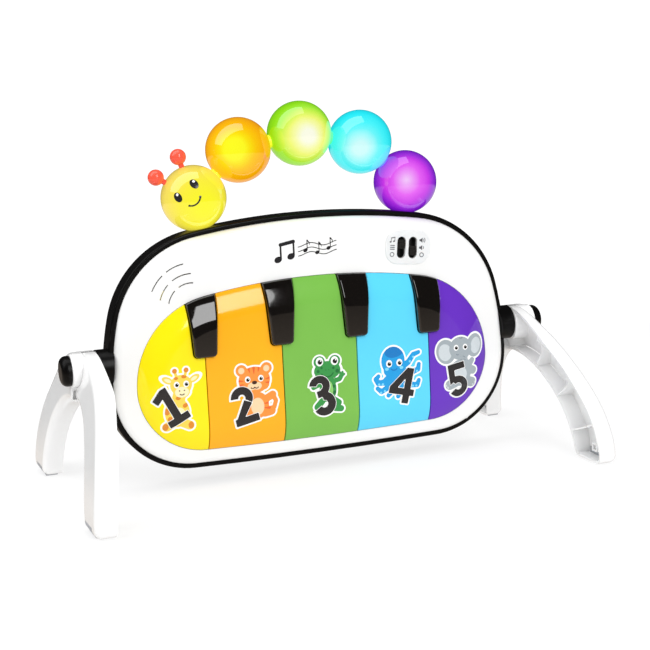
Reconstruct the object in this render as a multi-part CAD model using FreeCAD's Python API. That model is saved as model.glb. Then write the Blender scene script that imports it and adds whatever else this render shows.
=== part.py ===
import FreeCAD, Part
import math
import os

# Toy piano unit of an activity gym: a rounded housing with five coloured keys, an arch of five
# light-up balls on top, and a pair of curved legs on each side that turn on a hub.
# Frame: X to the right, Y to the back, Z up; origin on the floor, under the hub axis. Millimetres.

V = FreeCAD.Vector
X_AXIS = V(1, 0, 0)
Y_AXIS = V(0, 1, 0)
SIDES = (("left", -1), ("right", 1))

# Housing
HUB_Z = 119.0            # height of the axis that the legs turn on
FACE_Y = -15.0           # front plane of the white bezel
BACK_Y = 25.0            # back plane of the black shell
WALL = 2.5               # moulded wall thickness
BEZEL_BACK_Y = -6.0      # rear edge of the bezel's skirt
BEZEL_ROUND = 7.0        # rounding of the bezel's front edge
RIM = 4.9                # how far the black shell stands out round the bezel
RIM_FRONT_Y = -8.5       # front edge of the black rim
SHELL_ROUND = 14.0       # rounding of the shell's back edge

# Keys
KEY_PITCH = 74.0
KEY_NAMES = ("yellow", "orange", "green", "blue", "purple")
KEY_CENTRES = tuple((i - 2) * KEY_PITCH for i in range(5))
KEY_EDGES = tuple((i - 1.5) * KEY_PITCH for i in range(4))
KEY_GAP = 0.35           # half of the gap between two keys
OPENING_GAP = 0.4        # gap between the keys and the opening
PILLOW_Y = -23.0         # front plane of the key surface
PILLOW_ROUND = 45.0      # rounding of the key surface towards the opening's edge
PILLOW_SPREAD = 19.4     # how far that rounding starts outside the opening
KEY_BACK_Y = -4.5        # rear edge of a key's side walls
KEY_WALL = 2.4
KEY_EDGE_ROUND = 0.8
BLACK_EDGE_ROUND = 2.0
KEY_FRONT_LIMIT = -8.0   # only edges in front of this plane are rounded
SHARP_ANGLE = 25.0       # edges sharper than this are rounded on the keys
BLACK_PROUD = 4.5        # how far a black key stands in front of the coloured keys
BLACK_TOP_WIDTH = 29.0
BLACK_BOTTOM_WIDTH = 21.0
BLACK_BOTTOMS = (122.0, 126.0, 126.0, 122.0)
BLACK_CORNER = 4.0
NOTCH_GAP = 0.6
PIVOT_Y = -7.0           # axis that the coloured keys rock on
PIVOT_Z = 190.0
ROD_RADIUS = 1.5
ROD_HALF_LENGTH = 161.0
KNUCKLES = ((-146.0, -131.0), (-90.0, -58.0), (-17.0, 17.0), (58.0, 73.0), (131.0, 146.0))
KNUCKLE_RADIUS = 3.2
KNUCKLE_LENGTH = 5.0
ARM_FRONT_Y = -11.8
ARM_THICK = 2.4
PLUNGER_Z = 100.0
PLUNGER_RADIUS = 4.0
PLUNGER_TIP_Y = -1.0

# Parts behind the keys
FRAME_Y = 1.5            # front plane of the key frame
FRAME_THICK = 2.0
BOARD_Y = FRAME_Y + FRAME_THICK
BOARD_THICK = 1.6
DOME_RADIUS = 7.0

# Slide switches
SWITCH_XS = (89.4, 101.2)
SWITCH_Z = 203.9         # middle of both slots, before the tilt
SWITCH_TILT = 5.5        # the switches and their plate lean with the bezel's upper edge, degrees
SLOT_WIDTH = 8.6
SLOT_LENGTH = 20.6
KNOB_OFFSETS = (3.0, -3.0)
PLATE_CENTRE_X = 96.0
PLATE_CENTRE_Z = 204.2
PLATE_SIZE = (46.0, 32.5)
PLATE_PROUD = 0.8

# Loudspeaker
SPEAKER_X = -139.0
SPEAKER_Z = 190.0
SPEAKER_RADIUS = 17.0
SPEAKER_HOLE_RADIUS = 13.6       # hole in the key frame for the basket
SLIT_CENTRE = (-118.6, 168.2)    # centre that the sound slits curve round, X and Z
SLIT_HALF_WIDTH = 0.55
# Radius of each slit, and the angles where its two lengths start and end
SLITS = ((40.0, ((98, 123), (130, 154.7))), (30.3, ((88, 124), (134.5, 163.5))), (21.8, ((83, 121), (133.5, 167.5))))

# Light balls
BALL_RADIUS = 30.1
BALL_WALL = 2.2
BALL_Y = 6.0
BALL_CENTRES = ((-105.0, 264.6), (-60.2, 305.4), (0.0, 317.0), (60.2, 305.4), (105.0, 264.6))
BALL_NAMES = ("head", "orange", "green", "blue", "purple")
ARCH_RADIUS = 6.0
ARCH_WALL = 1.8
ANTENNA_ANGLES = (148.5, 108.0)
ANTENNA_REACH = 40.0
ANTENNA_BALL_RADIUS = 7.35
ANTENNA_STALK_RADIUS = 2.5

# Hubs and legs, given for the right-hand side
PIN_RADIUS = 4.0
HUB_RADIUS = 16.5
HUB_END_X = 207.2
LEG_IN_X = 207.6         # inner face of the leg hubs
LAP_X = 219.0            # where the front leg's hub meets the rear leg's hub
LEG_OUT_X = 231.0        # outer face of the leg hubs
LAP_GAP = 0.2
LEG_HUB_RADIUS = 15.2
LEG_HUB_CLEAR = 15.6
LEG_HUB_ROUND = 2.0
CAP_X = 231.5
CAP_END_X = 240.0
CAP_RADIUS = 13.9
LEG_WALL = 2.4
LEG_ROUND = 6.5
HEEL_ROUND = 7.0
BUTT_GAP = 0.2
PAD_THICK = 1.0
INNER_ARC_CENTRE = (3.0, -6.7)   # Y and Z
INNER_ARC_RADIUS = 96.7
# The leg's outer line from the butt to the toe, Y and Z
LEG_OUTER_LINE = ((-BUTT_GAP, 134.2), (-21, 131.8), (-42, 124.1), (-67, 112.2), (-91.5, 95), (-112, 75),
                  (-127.3, 55), (-136.5, 35), (-140.6, 16), (-141, 9))
# Inner and outer faces, X and Z, which lean outward towards the foot
LEG_INNER_FACE = ((LEG_IN_X, 145), (LEG_IN_X, 112), (208.8, 104), (212.7, 90), (216.3, 75), (219.7, 60),
                  (222.8, 45), (225.1, 30), (226.9, 15), (228.4, -2))
FRONT_OUTER_FACE = ((219.2, 150), (219.4, 145), (220.5, 130), (222.8, 116), (226.6, 101), (232.5, 81), (238.2, 60),
                    (242.5, 40), (245.6, 20), (246.7, -2))
REAR_OUTER_FACE = ((LEG_OUT_X, 145), (LEG_OUT_X, 118), (231.2, 104), (233.2, 90), (237.5, 70), (241.2, 50),
                   (244.3, 30), (246.3, 12), (246.8, -2))
TOE_Y = -132.5           # where the flat sole ends, and the middle of the round toe corner
TOE_CORNER = (-138.6, 3.4)
# Cross ribs: angle from upright, distance of the middle from the arc's centre, and X of the channel's rim there
RIBS = ((28.0, 112.0, 212.5), (50.5, 113.5, 219.5), (71.5, 117.0, 225.0))
RIB_DIP = 4.5            # how far a rib's free edge dips in the middle
RIB_DIP_RADIUS = 24.0
PAD_Y = (-126.0, -99.0)
PAD_TREAD_X = 232.0
PAD_WRAP_X = 241.0       # inner edge of the part that wraps up the outer face
PAD_HEIGHT = 9.0
PAD_GAP = 0.15
BOSS_Y = (-120.0, -111.0)
BOSS_Z = (8.0, 16.0)

# Batteries
CELL_RADIUS = 7.25
CELL_LENGTH = 49.5
CELL_Y = 14.2
CELL_ZS = (70.5, 86.0, 101.5)
DOOR_HALF_WIDTH = 32.0
DOOR_Z = (58.0, 118.0)
DOOR_GAP = 0.3
DOOR_SCREW_Z = 113.5
DOOR_SCREW_RADIUS = 1.6

CASE_SCREWS = ((-40, 214), (40, 214), (-182, 78), (182, 78), (-152, 33.5), (152, 33.5), (-60, 26.5), (60, 26.5))
SCREW_SEAT_Y = 17.0
TOWER_CLEAR = 6.0        # radius of the holes that clear the screw towers
BOARD_SCREWS = ((-120, 85), (-37, 85), (37, 85), (120, 85))


# ---------------------------------------------------------------- basic shapes

def block(x0, x1, y0, y1, z0, z1):
    return Part.makeBox(x1 - x0, y1 - y0, z1 - z0, V(x0, y0, z0))


def rod(radius, start, end):
    start, end = V(*start), V(*end)
    return Part.makeCylinder(radius, (end - start).Length, start, end - start)


def across(radius, x, z, y0, y1):
    """A cylinder along Y."""
    return rod(radius, (x, y0, z), (x, y1, z))


def merged(shapes):
    shapes = list(shapes)
    return shapes[0].fuse(shapes[1:]).removeSplitter() if len(shapes) > 1 else shapes[0]


def edges_in_plane(solid, y):
    return [e for e in solid.Edges if abs(e.BoundBox.YMin - y) < 0.01 and abs(e.BoundBox.YMax - y) < 0.01]


def sharp_front_edges(solid, y_limit):
    """Edges in front of y_limit where two faces meet at a clear angle."""
    found = []
    for edge in solid.Edges:
        if edge.BoundBox.YMax > y_limit:
            continue
        middle = edge.valueAt((edge.FirstParameter + edge.LastParameter) / 2)
        normals = []
        for face in solid.Faces:
            if any(edge.isSame(other) for other in face.Edges):
                normals.append(face.normalAt(*face.Surface.parameter(middle)))
        if len(normals) == 2 and math.degrees(normals[0].getAngle(normals[1])) > SHARP_ANGLE:
            found.append(edge)
    return found


def mirrored(shape, side):
    return shape if side > 0 else shape.mirror(V(0, 0, 0), X_AXIS)


def tilted(shape):
    """Turned with the switches about the middle of their plate."""
    turned = shape.copy()
    turned.rotate(V(PLATE_CENTRE_X, 0, PLATE_CENTRE_Z), Y_AXIS, SWITCH_TILT)
    return turned


def prism(points, y0, y1):
    """A prism along Y over a polygon of (x, z) points."""
    corners = [V(x, y0, z) for x, z in points]
    return Part.Face(Part.makePolygon(corners + corners[:1])).extrude(V(0, y1 - y0, 0))


# ---------------------------------------------------------------- rounded outlines

class Outline:
    """A D-shaped outline, symmetric in X: a shallow arc, a corner arc and a side arc per quarter."""

    def __init__(self, half_width, widest_z, top, bottom):
        self.half_width = half_width
        self.widest_z = widest_z
        self.top = top           # (height, arc radius, end angle, corner's end angle)
        self.bottom = bottom

    def quarter(self, limits, offset, sign):
        """Edges of the right-hand quarter, from the middle to the widest point."""
        height, flat_radius, flat_end, corner_end = limits
        drop = abs(height - self.widest_z)
        a, b = math.radians(flat_end), math.radians(corner_end)
        # The corner and side radii follow from where the quarter has to end.
        m = [[math.sin(b) - math.sin(a), 1 - math.sin(b)], [math.cos(a) - math.cos(b), math.cos(b)]]
        u = self.half_width - flat_radius * math.sin(a)
        w = drop - flat_radius * (1 - math.cos(a))
        det = m[0][0] * m[1][1] - m[0][1] * m[1][0]
        corner_radius = (u * m[1][1] - m[0][1] * w) / det
        side_radius = (m[0][0] * w - m[1][0] * u) / det
        x, z = 0.0, height + sign * offset
        arcs = []
        angle = 0.0
        for radius, end in ((flat_radius, a), (corner_radius, b), (side_radius, math.pi / 2)):
            radius += offset

            def at(t):
                return V(x + radius * (math.sin(t) - math.sin(angle)), 0,
                         z - sign * radius * (math.cos(angle) - math.cos(t)))

            arcs.append(Part.Arc(at(angle), at((angle + end) / 2), at(end)).toShape())
            x, z, angle = at(end).x, at(end).z, end
        return arcs

    def solid(self, offset, y0, y1):
        right = self.quarter(self.top, offset, 1) + self.quarter(self.bottom, offset, -1)
        left = [edge.mirror(V(0, 0, 0), X_AXIS) for edge in right]
        wire = Part.Wire(Part.__sortEdges__(right + left))
        face = Part.Face(wire)
        face.translate(V(0, y0, 0))
        return face.extrude(V(0, y1 - y0, 0))


HOUSING = Outline(194.6, 95.0, (239.3, 704, 9.1, 76.3), (19.5, 5000, 1.4, 80.0))
OPENING = Outline(174.6, 95.0, (186.2, 612, 10.1, 78.0), (32.2, 4000, 1.62, 80.0))


def rounded_solid(outline, offset, y0, y1, front=0.0, back=0.0):
    solid = outline.solid(offset, y0, y1)
    if front:
        solid = solid.makeFillet(front, edges_in_plane(solid, y0))
    if back:
        solid = solid.makeFillet(back, edges_in_plane(solid, y1))
    return solid


# ---------------------------------------------------------------- housing shells

def slit_cutters():
    """Three pairs of curved sound slits, cut through the bezel."""
    cutters = []
    for radius, lengths in SLITS:
        ring = across(radius + SLIT_HALF_WIDTH, *SLIT_CENTRE, FACE_Y - 1, FACE_Y + 5)
        ring = ring.cut(across(radius - SLIT_HALF_WIDTH, *SLIT_CENTRE, FACE_Y - 1, FACE_Y + 5))
        for start, end in lengths:
            reach = 2 * radius
            wedge = [SLIT_CENTRE]
            for angle in (start, end):
                t = math.radians(angle)
                wedge.append((SLIT_CENTRE[0] + reach * math.cos(t), SLIT_CENTRE[1] + reach * math.sin(t)))
            cutters.append(ring.common(prism(wedge, FACE_Y - 2, FACE_Y + 6)))
    return cutters


def switch_slots(y0, y1):
    """The two slots of the slide switches, with round ends."""
    radius = SLOT_WIDTH / 2
    reach = SLOT_LENGTH / 2 - radius
    slots = []
    for x in SWITCH_XS:
        straight = block(x - radius, x + radius, y0, y1, SWITCH_Z - reach, SWITCH_Z + reach)
        ends = [across(radius, x, SWITCH_Z + sign * reach, y0, y1) for sign in (-1, 1)]
        slots.append(merged([straight] + ends))
    return slots


def front_bezel():
    body = rounded_solid(HOUSING, 0, FACE_Y, BEZEL_BACK_Y, front=BEZEL_ROUND)
    body = body.cut(rounded_solid(HOUSING, -WALL, FACE_Y + WALL, BEZEL_BACK_Y + 1, front=BEZEL_ROUND - WALL))
    bosses = [across(3.8, x, z, FACE_Y + WALL - 0.2, 8.8) for x, z in CASE_SCREWS]
    pilots = [across(1.5, x, z, -3.0, 9.0) for x, z in CASE_SCREWS]
    body = merged([body] + bosses)
    cutters = [OPENING.solid(0, FACE_Y - 1, FACE_Y + 4)] + slit_cutters()
    cutters += [tilted(slot) for slot in switch_slots(FACE_Y - 1, FACE_Y + 4)] + pilots
    return body.cut(cutters)


def rear_shell():
    body = rounded_solid(HOUSING, RIM, RIM_FRONT_Y, BACK_Y, front=2.0, back=SHELL_ROUND)
    cavity = rounded_solid(HOUSING, RIM - WALL, RIM_FRONT_Y + WALL, BACK_Y - WALL, back=SHELL_ROUND - WALL)
    body = body.cut([cavity, HOUSING.solid(0, RIM_FRONT_Y - 1, RIM_FRONT_Y + 4)])
    hubs = []
    for _, side in SIDES:
        hub = rod(HUB_RADIUS, (side * 184, 0, HUB_Z), (side * HUB_END_X, 0, HUB_Z))
        hubs.append(hub.cut(HOUSING.solid(0.1, FACE_Y - 2, BEZEL_BACK_Y + 0.2)))
    screw_towers = [across(5.5, x, z, 9.0, BACK_Y - WALL + 0.2) for x, z in CASE_SCREWS]
    arch_sockets = [rod(ARCH_RADIUS + 3, (x, BALL_Y, 222), (x, BALL_Y, 235)) for x in ARCH_FEET]
    body = merged([body] + hubs + screw_towers + arch_sockets)
    cutters = [across(3.4, x, z, SCREW_SEAT_Y, BACK_Y + 1) for x, z in CASE_SCREWS]
    cutters += [across(1.6, x, z, 8.0, 20.0) for x, z in CASE_SCREWS]
    cutters += [rod(ARCH_RADIUS, (x, BALL_Y, 218), (x, BALL_Y, 245)) for x in ARCH_FEET]
    for _, side in SIDES:
        cutters.append(rod(PIN_RADIUS, (side * 178, 0, HUB_Z), (side * 210, 0, HUB_Z)))
        cutters.append(rod(9.0, (side * 205, 0, HUB_Z), (side * 209, 0, HUB_Z)))
    cutters.append(block(-DOOR_HALF_WIDTH, DOOR_HALF_WIDTH, BACK_Y - WALL - 2, BACK_Y + 1, *DOOR_Z))
    return body.cut(cutters)


def case_screws():
    screws = []
    for x, z in CASE_SCREWS:
        head = across(3.1, x, z, SCREW_SEAT_Y, SCREW_SEAT_Y + 2.4)
        recess = [block(x - 2, x + 2, SCREW_SEAT_Y + 1.2, 22, z - 0.5, z + 0.5),
                  block(x - 0.5, x + 0.5, SCREW_SEAT_Y + 1.2, 22, z - 2, z + 2)]
        screws.append(merged([head.cut(recess), across(1.4, x, z, -2.5, SCREW_SEAT_Y)]))
    return Part.makeCompound(screws)


# ---------------------------------------------------------------- keys

def pillow(grow, shrink, front_y, back_y):
    """The common rounded body of the keys. It grows forward and shrinks inside the opening."""
    rounding = PILLOW_ROUND + grow
    body = rounded_solid(OPENING, PILLOW_SPREAD, front_y, front_y + rounding + 8, front=rounding)
    return body.common(OPENING.solid(-shrink, front_y - 1, back_y))


def black_outline(index, gap):
    """Tapered plan of a black key, running up behind the bezel's edge, with round lower corners."""
    centre, bottom = KEY_EDGES[index], BLACK_BOTTOMS[index]
    taper = (BLACK_TOP_WIDTH - BLACK_BOTTOM_WIDTH) / 2 / (180.0 - bottom)
    top = 200.0
    low = BLACK_BOTTOM_WIDTH / 2 + gap
    high = low + taper * (top - bottom)
    body = prism([(centre - low, bottom - gap), (centre + low, bottom - gap), (centre + high, top),
                  (centre - high, top)], -40, FRAME_Y)
    lower = [e for e in body.Edges if e.BoundBox.ZMax < bottom - gap + 0.5 and e.BoundBox.YLength > 10]
    return body.makeFillet(BLACK_CORNER + gap, lower)


def black_key(index):
    surface = pillow(BLACK_PROUD, OPENING_GAP, PILLOW_Y - BLACK_PROUD, FRAME_Y)
    cavity = pillow(BLACK_PROUD - KEY_WALL, OPENING_GAP + KEY_WALL, PILLOW_Y - BLACK_PROUD + KEY_WALL, FRAME_Y + 1)
    body = surface.common(black_outline(index, 0))
    body = body.makeFillet(BLACK_EDGE_ROUND, sharp_front_edges(body, KEY_FRONT_LIMIT))
    return body.cut(cavity.common(black_outline(index, -KEY_WALL)))


def key_slab(index, inset, y0, y1):
    left = -190.0 if index == 0 else KEY_EDGES[index - 1] + KEY_GAP + inset
    right = 190.0 if index == 4 else KEY_EDGES[index] - KEY_GAP - inset
    return block(left, right, y0, y1, 20, 200)


def coloured_key(index):
    neighbours = [i for i in (index - 1, index) if 0 <= i < 4]
    body = pillow(0, OPENING_GAP, PILLOW_Y, KEY_BACK_Y).common(key_slab(index, 0, -40, 10))
    for i in neighbours:
        body = body.cut(black_outline(i, NOTCH_GAP))
    body = body.makeFillet(KEY_EDGE_ROUND, sharp_front_edges(body, KEY_FRONT_LIMIT))
    inside = pillow(-KEY_WALL, OPENING_GAP + KEY_WALL, PILLOW_Y + KEY_WALL, KEY_BACK_Y + 1)
    inside = inside.common(key_slab(index, KEY_WALL, -40, 10))
    for i in neighbours:
        inside = inside.cut(black_outline(i, NOTCH_GAP + KEY_WALL))
    body = body.cut(inside)
    first, last = KNUCKLES[index]
    half = KNUCKLE_LENGTH / 2
    arm_low = 186.0 if index in (1, 2, 3) else 166.0
    arms = []
    for x in (first, last):
        reach = min(arm_low, opening_height(x)) - 8
        arms.append(block(x - half, x + half, ARM_FRONT_Y, ARM_FRONT_Y + ARM_THICK, reach, PIVOT_Z))
        arms.append(rod(KNUCKLE_RADIUS, (x - half, PIVOT_Y, PIVOT_Z), (x + half, PIVOT_Y, PIVOT_Z)))
    plunger = across(PLUNGER_RADIUS, KEY_CENTRES[index], PLUNGER_Z, PILLOW_Y + KEY_WALL - 0.5, PLUNGER_TIP_Y)
    body = merged([body, plunger] + arms)
    return body.cut(rod(ROD_RADIUS + 0.08, (first - 10, PIVOT_Y, PIVOT_Z), (last + 10, PIVOT_Y, PIVOT_Z)))


def opening_height(x):
    """Height of the opening's upper edge over a given X."""
    line = Part.makeLine(V(x, 0, 95), V(x, 0, 250))
    hit = OPENING.solid(0, -1, 1).common(line)
    return hit.BoundBox.ZMax


def key_frame():
    plate = OPENING.solid(6, FRAME_Y, FRAME_Y + FRAME_THICK)
    plate = merged([plate, block(-ROD_HALF_LENGTH, ROD_HALF_LENGTH, FRAME_Y, FRAME_Y + FRAME_THICK, 160, 196)])
    plate = plate.cut([across(DOME_RADIUS + 1, x, PLUNGER_Z, 0, 5) for x in KEY_CENTRES])
    plate = plate.cut([across(1.3, x, z, 0, 5) for x, z in BOARD_SCREWS])
    plate = plate.cut(across(SPEAKER_HOLE_RADIUS, SPEAKER_X, SPEAKER_Z, 0, 5))
    plate = plate.cut([across(TOWER_CLEAR, x, z, 0, 5) for x, z in CASE_SCREWS])
    ears = []
    for x in (-ROD_HALF_LENGTH + 2.5, *KEY_EDGES, ROD_HALF_LENGTH - 2.5):
        ears.append(block(x - 2.5, x + 2.5, PIVOT_Y - 3, FRAME_Y + 0.2, 187, 193.0))
    return merged([plate] + ears).cut(rod(ROD_RADIUS, (-170, PIVOT_Y, PIVOT_Z), (170, PIVOT_Y, PIVOT_Z)))


def pivot_rod():
    return rod(ROD_RADIUS, (-ROD_HALF_LENGTH, PIVOT_Y, PIVOT_Z), (ROD_HALF_LENGTH, PIVOT_Y, PIVOT_Z))


def key_dome(index):
    """Rubber contact dome between a key's plunger and the key board."""
    x = KEY_CENTRES[index]
    base = across(DOME_RADIUS, x, PLUNGER_Z, BOARD_Y - 0.8, BOARD_Y)
    skirt = Part.makeCone(DOME_RADIUS - 0.6, 4.0, 3.65, V(x, BOARD_Y - 0.8, PLUNGER_Z), V(0, -1, 0))
    hollow = Part.makeCone(DOME_RADIUS - 1.6, 3.0, 3.0, V(x, BOARD_Y, PLUNGER_Z), V(0, -1, 0))
    return base.fuse(skirt).removeSplitter().cut(hollow)


def key_board():
    board = block(-158, 158, BOARD_Y, BOARD_Y + BOARD_THICK, 80, 112)
    return board.cut([across(1.3, x, z, 0, 8) for x, z in BOARD_SCREWS])


def board_screws():
    screws = []
    for x, z in BOARD_SCREWS:
        shank = across(1.2, x, z, FRAME_Y - 1.0, BOARD_Y + BOARD_THICK)
        head = across(2.4, x, z, BOARD_Y + BOARD_THICK, BOARD_Y + BOARD_THICK + 1.4)
        screws.append(shank.fuse(head).removeSplitter())
    return Part.makeCompound(screws)


# ---------------------------------------------------------------- switches

def switch_plate():
    half_x, half_z = PLATE_SIZE[0] / 2, PLATE_SIZE[1] / 2
    plate = block(PLATE_CENTRE_X - half_x, PLATE_CENTRE_X + half_x, FACE_Y - PLATE_PROUD, FACE_Y,
                  PLATE_CENTRE_Z - half_z, PLATE_CENTRE_Z + half_z)
    corners = [e for e in plate.Edges if e.BoundBox.YLength > 0.5]
    plate = plate.makeFillet(13.0, corners)
    plate = plate.makeFillet(0.5, edges_in_plane(plate, FACE_Y - PLATE_PROUD))
    return tilted(plate.cut(switch_slots(FACE_Y - 3, FACE_Y + 1)))


def switch_body(x):
    case = block(x - 5.5, x + 5.5, -11.6, -4.0, SWITCH_Z - 11.2, SWITCH_Z + 11.7)
    return tilted(case.cut(block(x - 3.8, x + 3.8, -12, -5.2, SWITCH_Z - 9.9, SWITCH_Z + 10.4)))


def switch_board():
    return tilted(block(SWITCH_XS[0] - 8, SWITCH_XS[1] + 8, -4.0, -2.4, SWITCH_Z - 11.2, SWITCH_Z + 13))


def switch_knob(x, offset):
    z = SWITCH_Z + offset
    stem = block(x - 3.4, x + 3.4, -16.0, -5.6, z - 4.4, z + 4.4)
    grip = block(x - 3.4, x + 3.4, -17.2, -15.5, z - 1.2, z + 1.2)
    return tilted(merged([stem, grip]))


# ---------------------------------------------------------------- sound, power and electronics

def speaker_basket():
    ring = across(SPEAKER_RADIUS, SPEAKER_X, SPEAKER_Z, -3.4, -1.8)
    cup = Part.makeCone(SPEAKER_RADIUS - 1, 9.5, 7.8, V(SPEAKER_X, -1.8, SPEAKER_Z), Y_AXIS)
    hollow = Part.makeCone(SPEAKER_RADIUS - 2, 8.0, 8.2, V(SPEAKER_X, -3.4, SPEAKER_Z), Y_AXIS)
    return ring.fuse(cup).removeSplitter().cut(hollow)


def speaker_cone():
    outer = Part.makeCone(SPEAKER_RADIUS - 2.2, 8.2, 5.0, V(SPEAKER_X, -3.2, SPEAKER_Z), Y_AXIS)
    inner = Part.makeCone(SPEAKER_RADIUS - 2.9, 7.2, 4.6, V(SPEAKER_X, -3.4, SPEAKER_Z), Y_AXIS)
    cap = Part.makeSphere(5.0, V(SPEAKER_X, 0.0, SPEAKER_Z))
    cap = cap.common(across(7.0, SPEAKER_X, SPEAKER_Z, -2.4, 1.8))
    return merged([outer.cut(inner), cap])


def speaker_magnet():
    return across(9.5, SPEAKER_X, SPEAKER_Z, 6.0, 12.0)


def main_board():
    board = block(-28, 70, 4.0, 5.6, 196, 228)
    return board.cut([across(TOWER_CLEAR, x, z, 0, 10) for x, z in CASE_SCREWS])


def board_parts():
    """Sound chip, crystal, transistor and capacitors on the main board."""
    parts = [block(-10, 6, 5.6, 8.0, 206, 222), block(14, 25, 5.6, 9.0, 214, 218), block(14, 18, 5.6, 8.0, 204, 209)]
    parts += [across(3.0, x, 202, 5.6, 14.0) for x in (26, 34)]
    parts.append(block(52, 64, 5.6, 12.0, 199, 205))
    return Part.makeCompound(parts)


def battery_box():
    half = CELL_LENGTH / 2 + 3.2
    outer = block(-half, half, 5.4, BACK_Y - WALL, CELL_ZS[0] - 9.4, CELL_ZS[-1] + 9.4)
    inner = block(-half + 1.6, half - 1.6, 6.8, BACK_Y, CELL_ZS[0] - 7.8, CELL_ZS[-1] + 7.8)
    post = across(3.0, 0, DOOR_SCREW_Z, 12.0, BACK_Y - WALL - 0.1)
    box = merged([outer.cut(inner), post])
    return box.cut(across(DOOR_SCREW_RADIUS, 0, DOOR_SCREW_Z, 13.5, BACK_Y))


def batteries():
    cells = []
    half = CELL_LENGTH / 2
    for i, z in enumerate(CELL_ZS):
        side = 1 if i % 2 else -1
        can = rod(CELL_RADIUS - 0.1, (-side * half, CELL_Y, z), (side * (half - 1.2), CELL_Y, z))
        nub = rod(2.7, (side * (half - 1.3), CELL_Y, z), (side * half, CELL_Y, z))
        cells.append(can.fuse(nub).removeSplitter())
    return Part.makeCompound(cells)


def battery_contacts():
    half = CELL_LENGTH / 2
    plates = []
    for z in CELL_ZS:
        for side in (-1, 1):
            x0, x1 = sorted((side * (half + 0.1), side * (half + 0.7)))
            plates.append(block(x0, x1, 8.5, 20.0, z - 5, z + 5))
    return Part.makeCompound(plates)


def battery_door():
    x, gap = DOOR_HALF_WIDTH - DOOR_GAP, DOOR_GAP
    plate = block(-x, x, BACK_Y - WALL + 0.2, BACK_Y, DOOR_Z[0] + gap, DOOR_Z[1] - gap)
    plate = plate.makeFillet(0.8, edges_in_plane(plate, BACK_Y))
    grips = [block(-14, 14, BACK_Y - 0.9, BACK_Y + 0.2, z, z + 1.4) for z in (63, 66.5, 70)]
    plate = plate.cut(grips)
    return plate.cut([across(3.2, 0, DOOR_SCREW_Z, BACK_Y - 1.2, BACK_Y + 1),
                      across(DOOR_SCREW_RADIUS + 0.1, 0, DOOR_SCREW_Z, 20, 26)])


def door_screw():
    head = across(2.9, 0, DOOR_SCREW_Z, BACK_Y - 1.2, BACK_Y - 0.1)
    head = head.cut(block(-2.0, 2.0, BACK_Y - 0.6, BACK_Y, DOOR_SCREW_Z - 0.4, DOOR_SCREW_Z + 0.4))
    return head.fuse(across(DOOR_SCREW_RADIUS - 0.3, 0, DOOR_SCREW_Z, 14.0, BACK_Y - 1.2)).removeSplitter()


# ---------------------------------------------------------------- arch of light balls

ARCH_FEET = (BALL_CENTRES[0][0], BALL_CENTRES[-1][0])


def arch_route():
    route = [V(ARCH_FEET[0], BALL_Y, 222)]
    route += [V(x, BALL_Y, z) for x, z in BALL_CENTRES]
    return route + [V(ARCH_FEET[1], BALL_Y, 222)]


def arch_tube(radius):
    route = arch_route()
    runs = [rod(radius, a, b) for a, b in zip(route[:-1], route[1:])]
    elbows = [Part.makeSphere(radius, p) for p in route[1:-1]]
    return merged(runs + elbows)


def light_ball(index):
    x, z = BALL_CENTRES[index]
    centre = V(x, BALL_Y, z)
    ball = Part.makeSphere(BALL_RADIUS, centre).cut(Part.makeSphere(BALL_RADIUS - BALL_WALL, centre))
    ball = ball.cut(arch_tube(ARCH_RADIUS + 0.1))
    if index in (0, 4):
        ball = ball.cut(HOUSING.solid(RIM + 0.1, RIM_FRONT_Y - 10, BACK_Y))
    if index == 0:
        ball = ball.cut([antenna_stalk(angle, 0.0) for angle in ANTENNA_ANGLES])
    return ball


def led_modules():
    """A small light board in each ball, on the front of the arch tube."""
    modules = []
    for x, z in BALL_CENTRES:
        board = across(9.0, x, z, BALL_Y - 8.0, BALL_Y - 6.2)
        modules.append(board.fuse(across(2.5, x, z, BALL_Y - 11.0, BALL_Y - 8.0)).removeSplitter())
    return Part.makeCompound(modules)


def antenna_stalk(angle, start):
    t = math.radians(angle)
    x, z = BALL_CENTRES[0]
    along = V(math.cos(t), 0, math.sin(t))
    foot = V(x, BALL_Y, z) + along * (BALL_RADIUS - BALL_WALL - 1.0 + start)
    tip = V(x, BALL_Y, z) + along * ANTENNA_REACH
    return rod(ANTENNA_STALK_RADIUS, foot, tip)


def antenna(angle):
    t = math.radians(angle)
    x, z = BALL_CENTRES[0]
    tip = V(x + ANTENNA_REACH * math.cos(t), BALL_Y, z + ANTENNA_REACH * math.sin(t))
    return merged([antenna_stalk(angle, 0.0), Part.makeSphere(ANTENNA_BALL_RADIUS, tip)])


# ---------------------------------------------------------------- legs, right-hand side

def curve_through(points):
    curve = Part.BSplineCurve()
    curve.interpolate(points)
    return curve.toShape()


def moved_inside(points, inset):
    """The (y, z) points of the outer line, moved towards the channel at right angles to the line."""
    moved = []
    for i, (y, z) in enumerate(points):
        before, after = points[max(i - 1, 0)], points[min(i + 1, len(points) - 1)]
        dy, dz = after[0] - before[0], after[1] - before[1]
        length = math.hypot(dy, dz)
        moved.append(V(0, y - inset * dz / length, z + inset * dy / length))
    return moved


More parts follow.
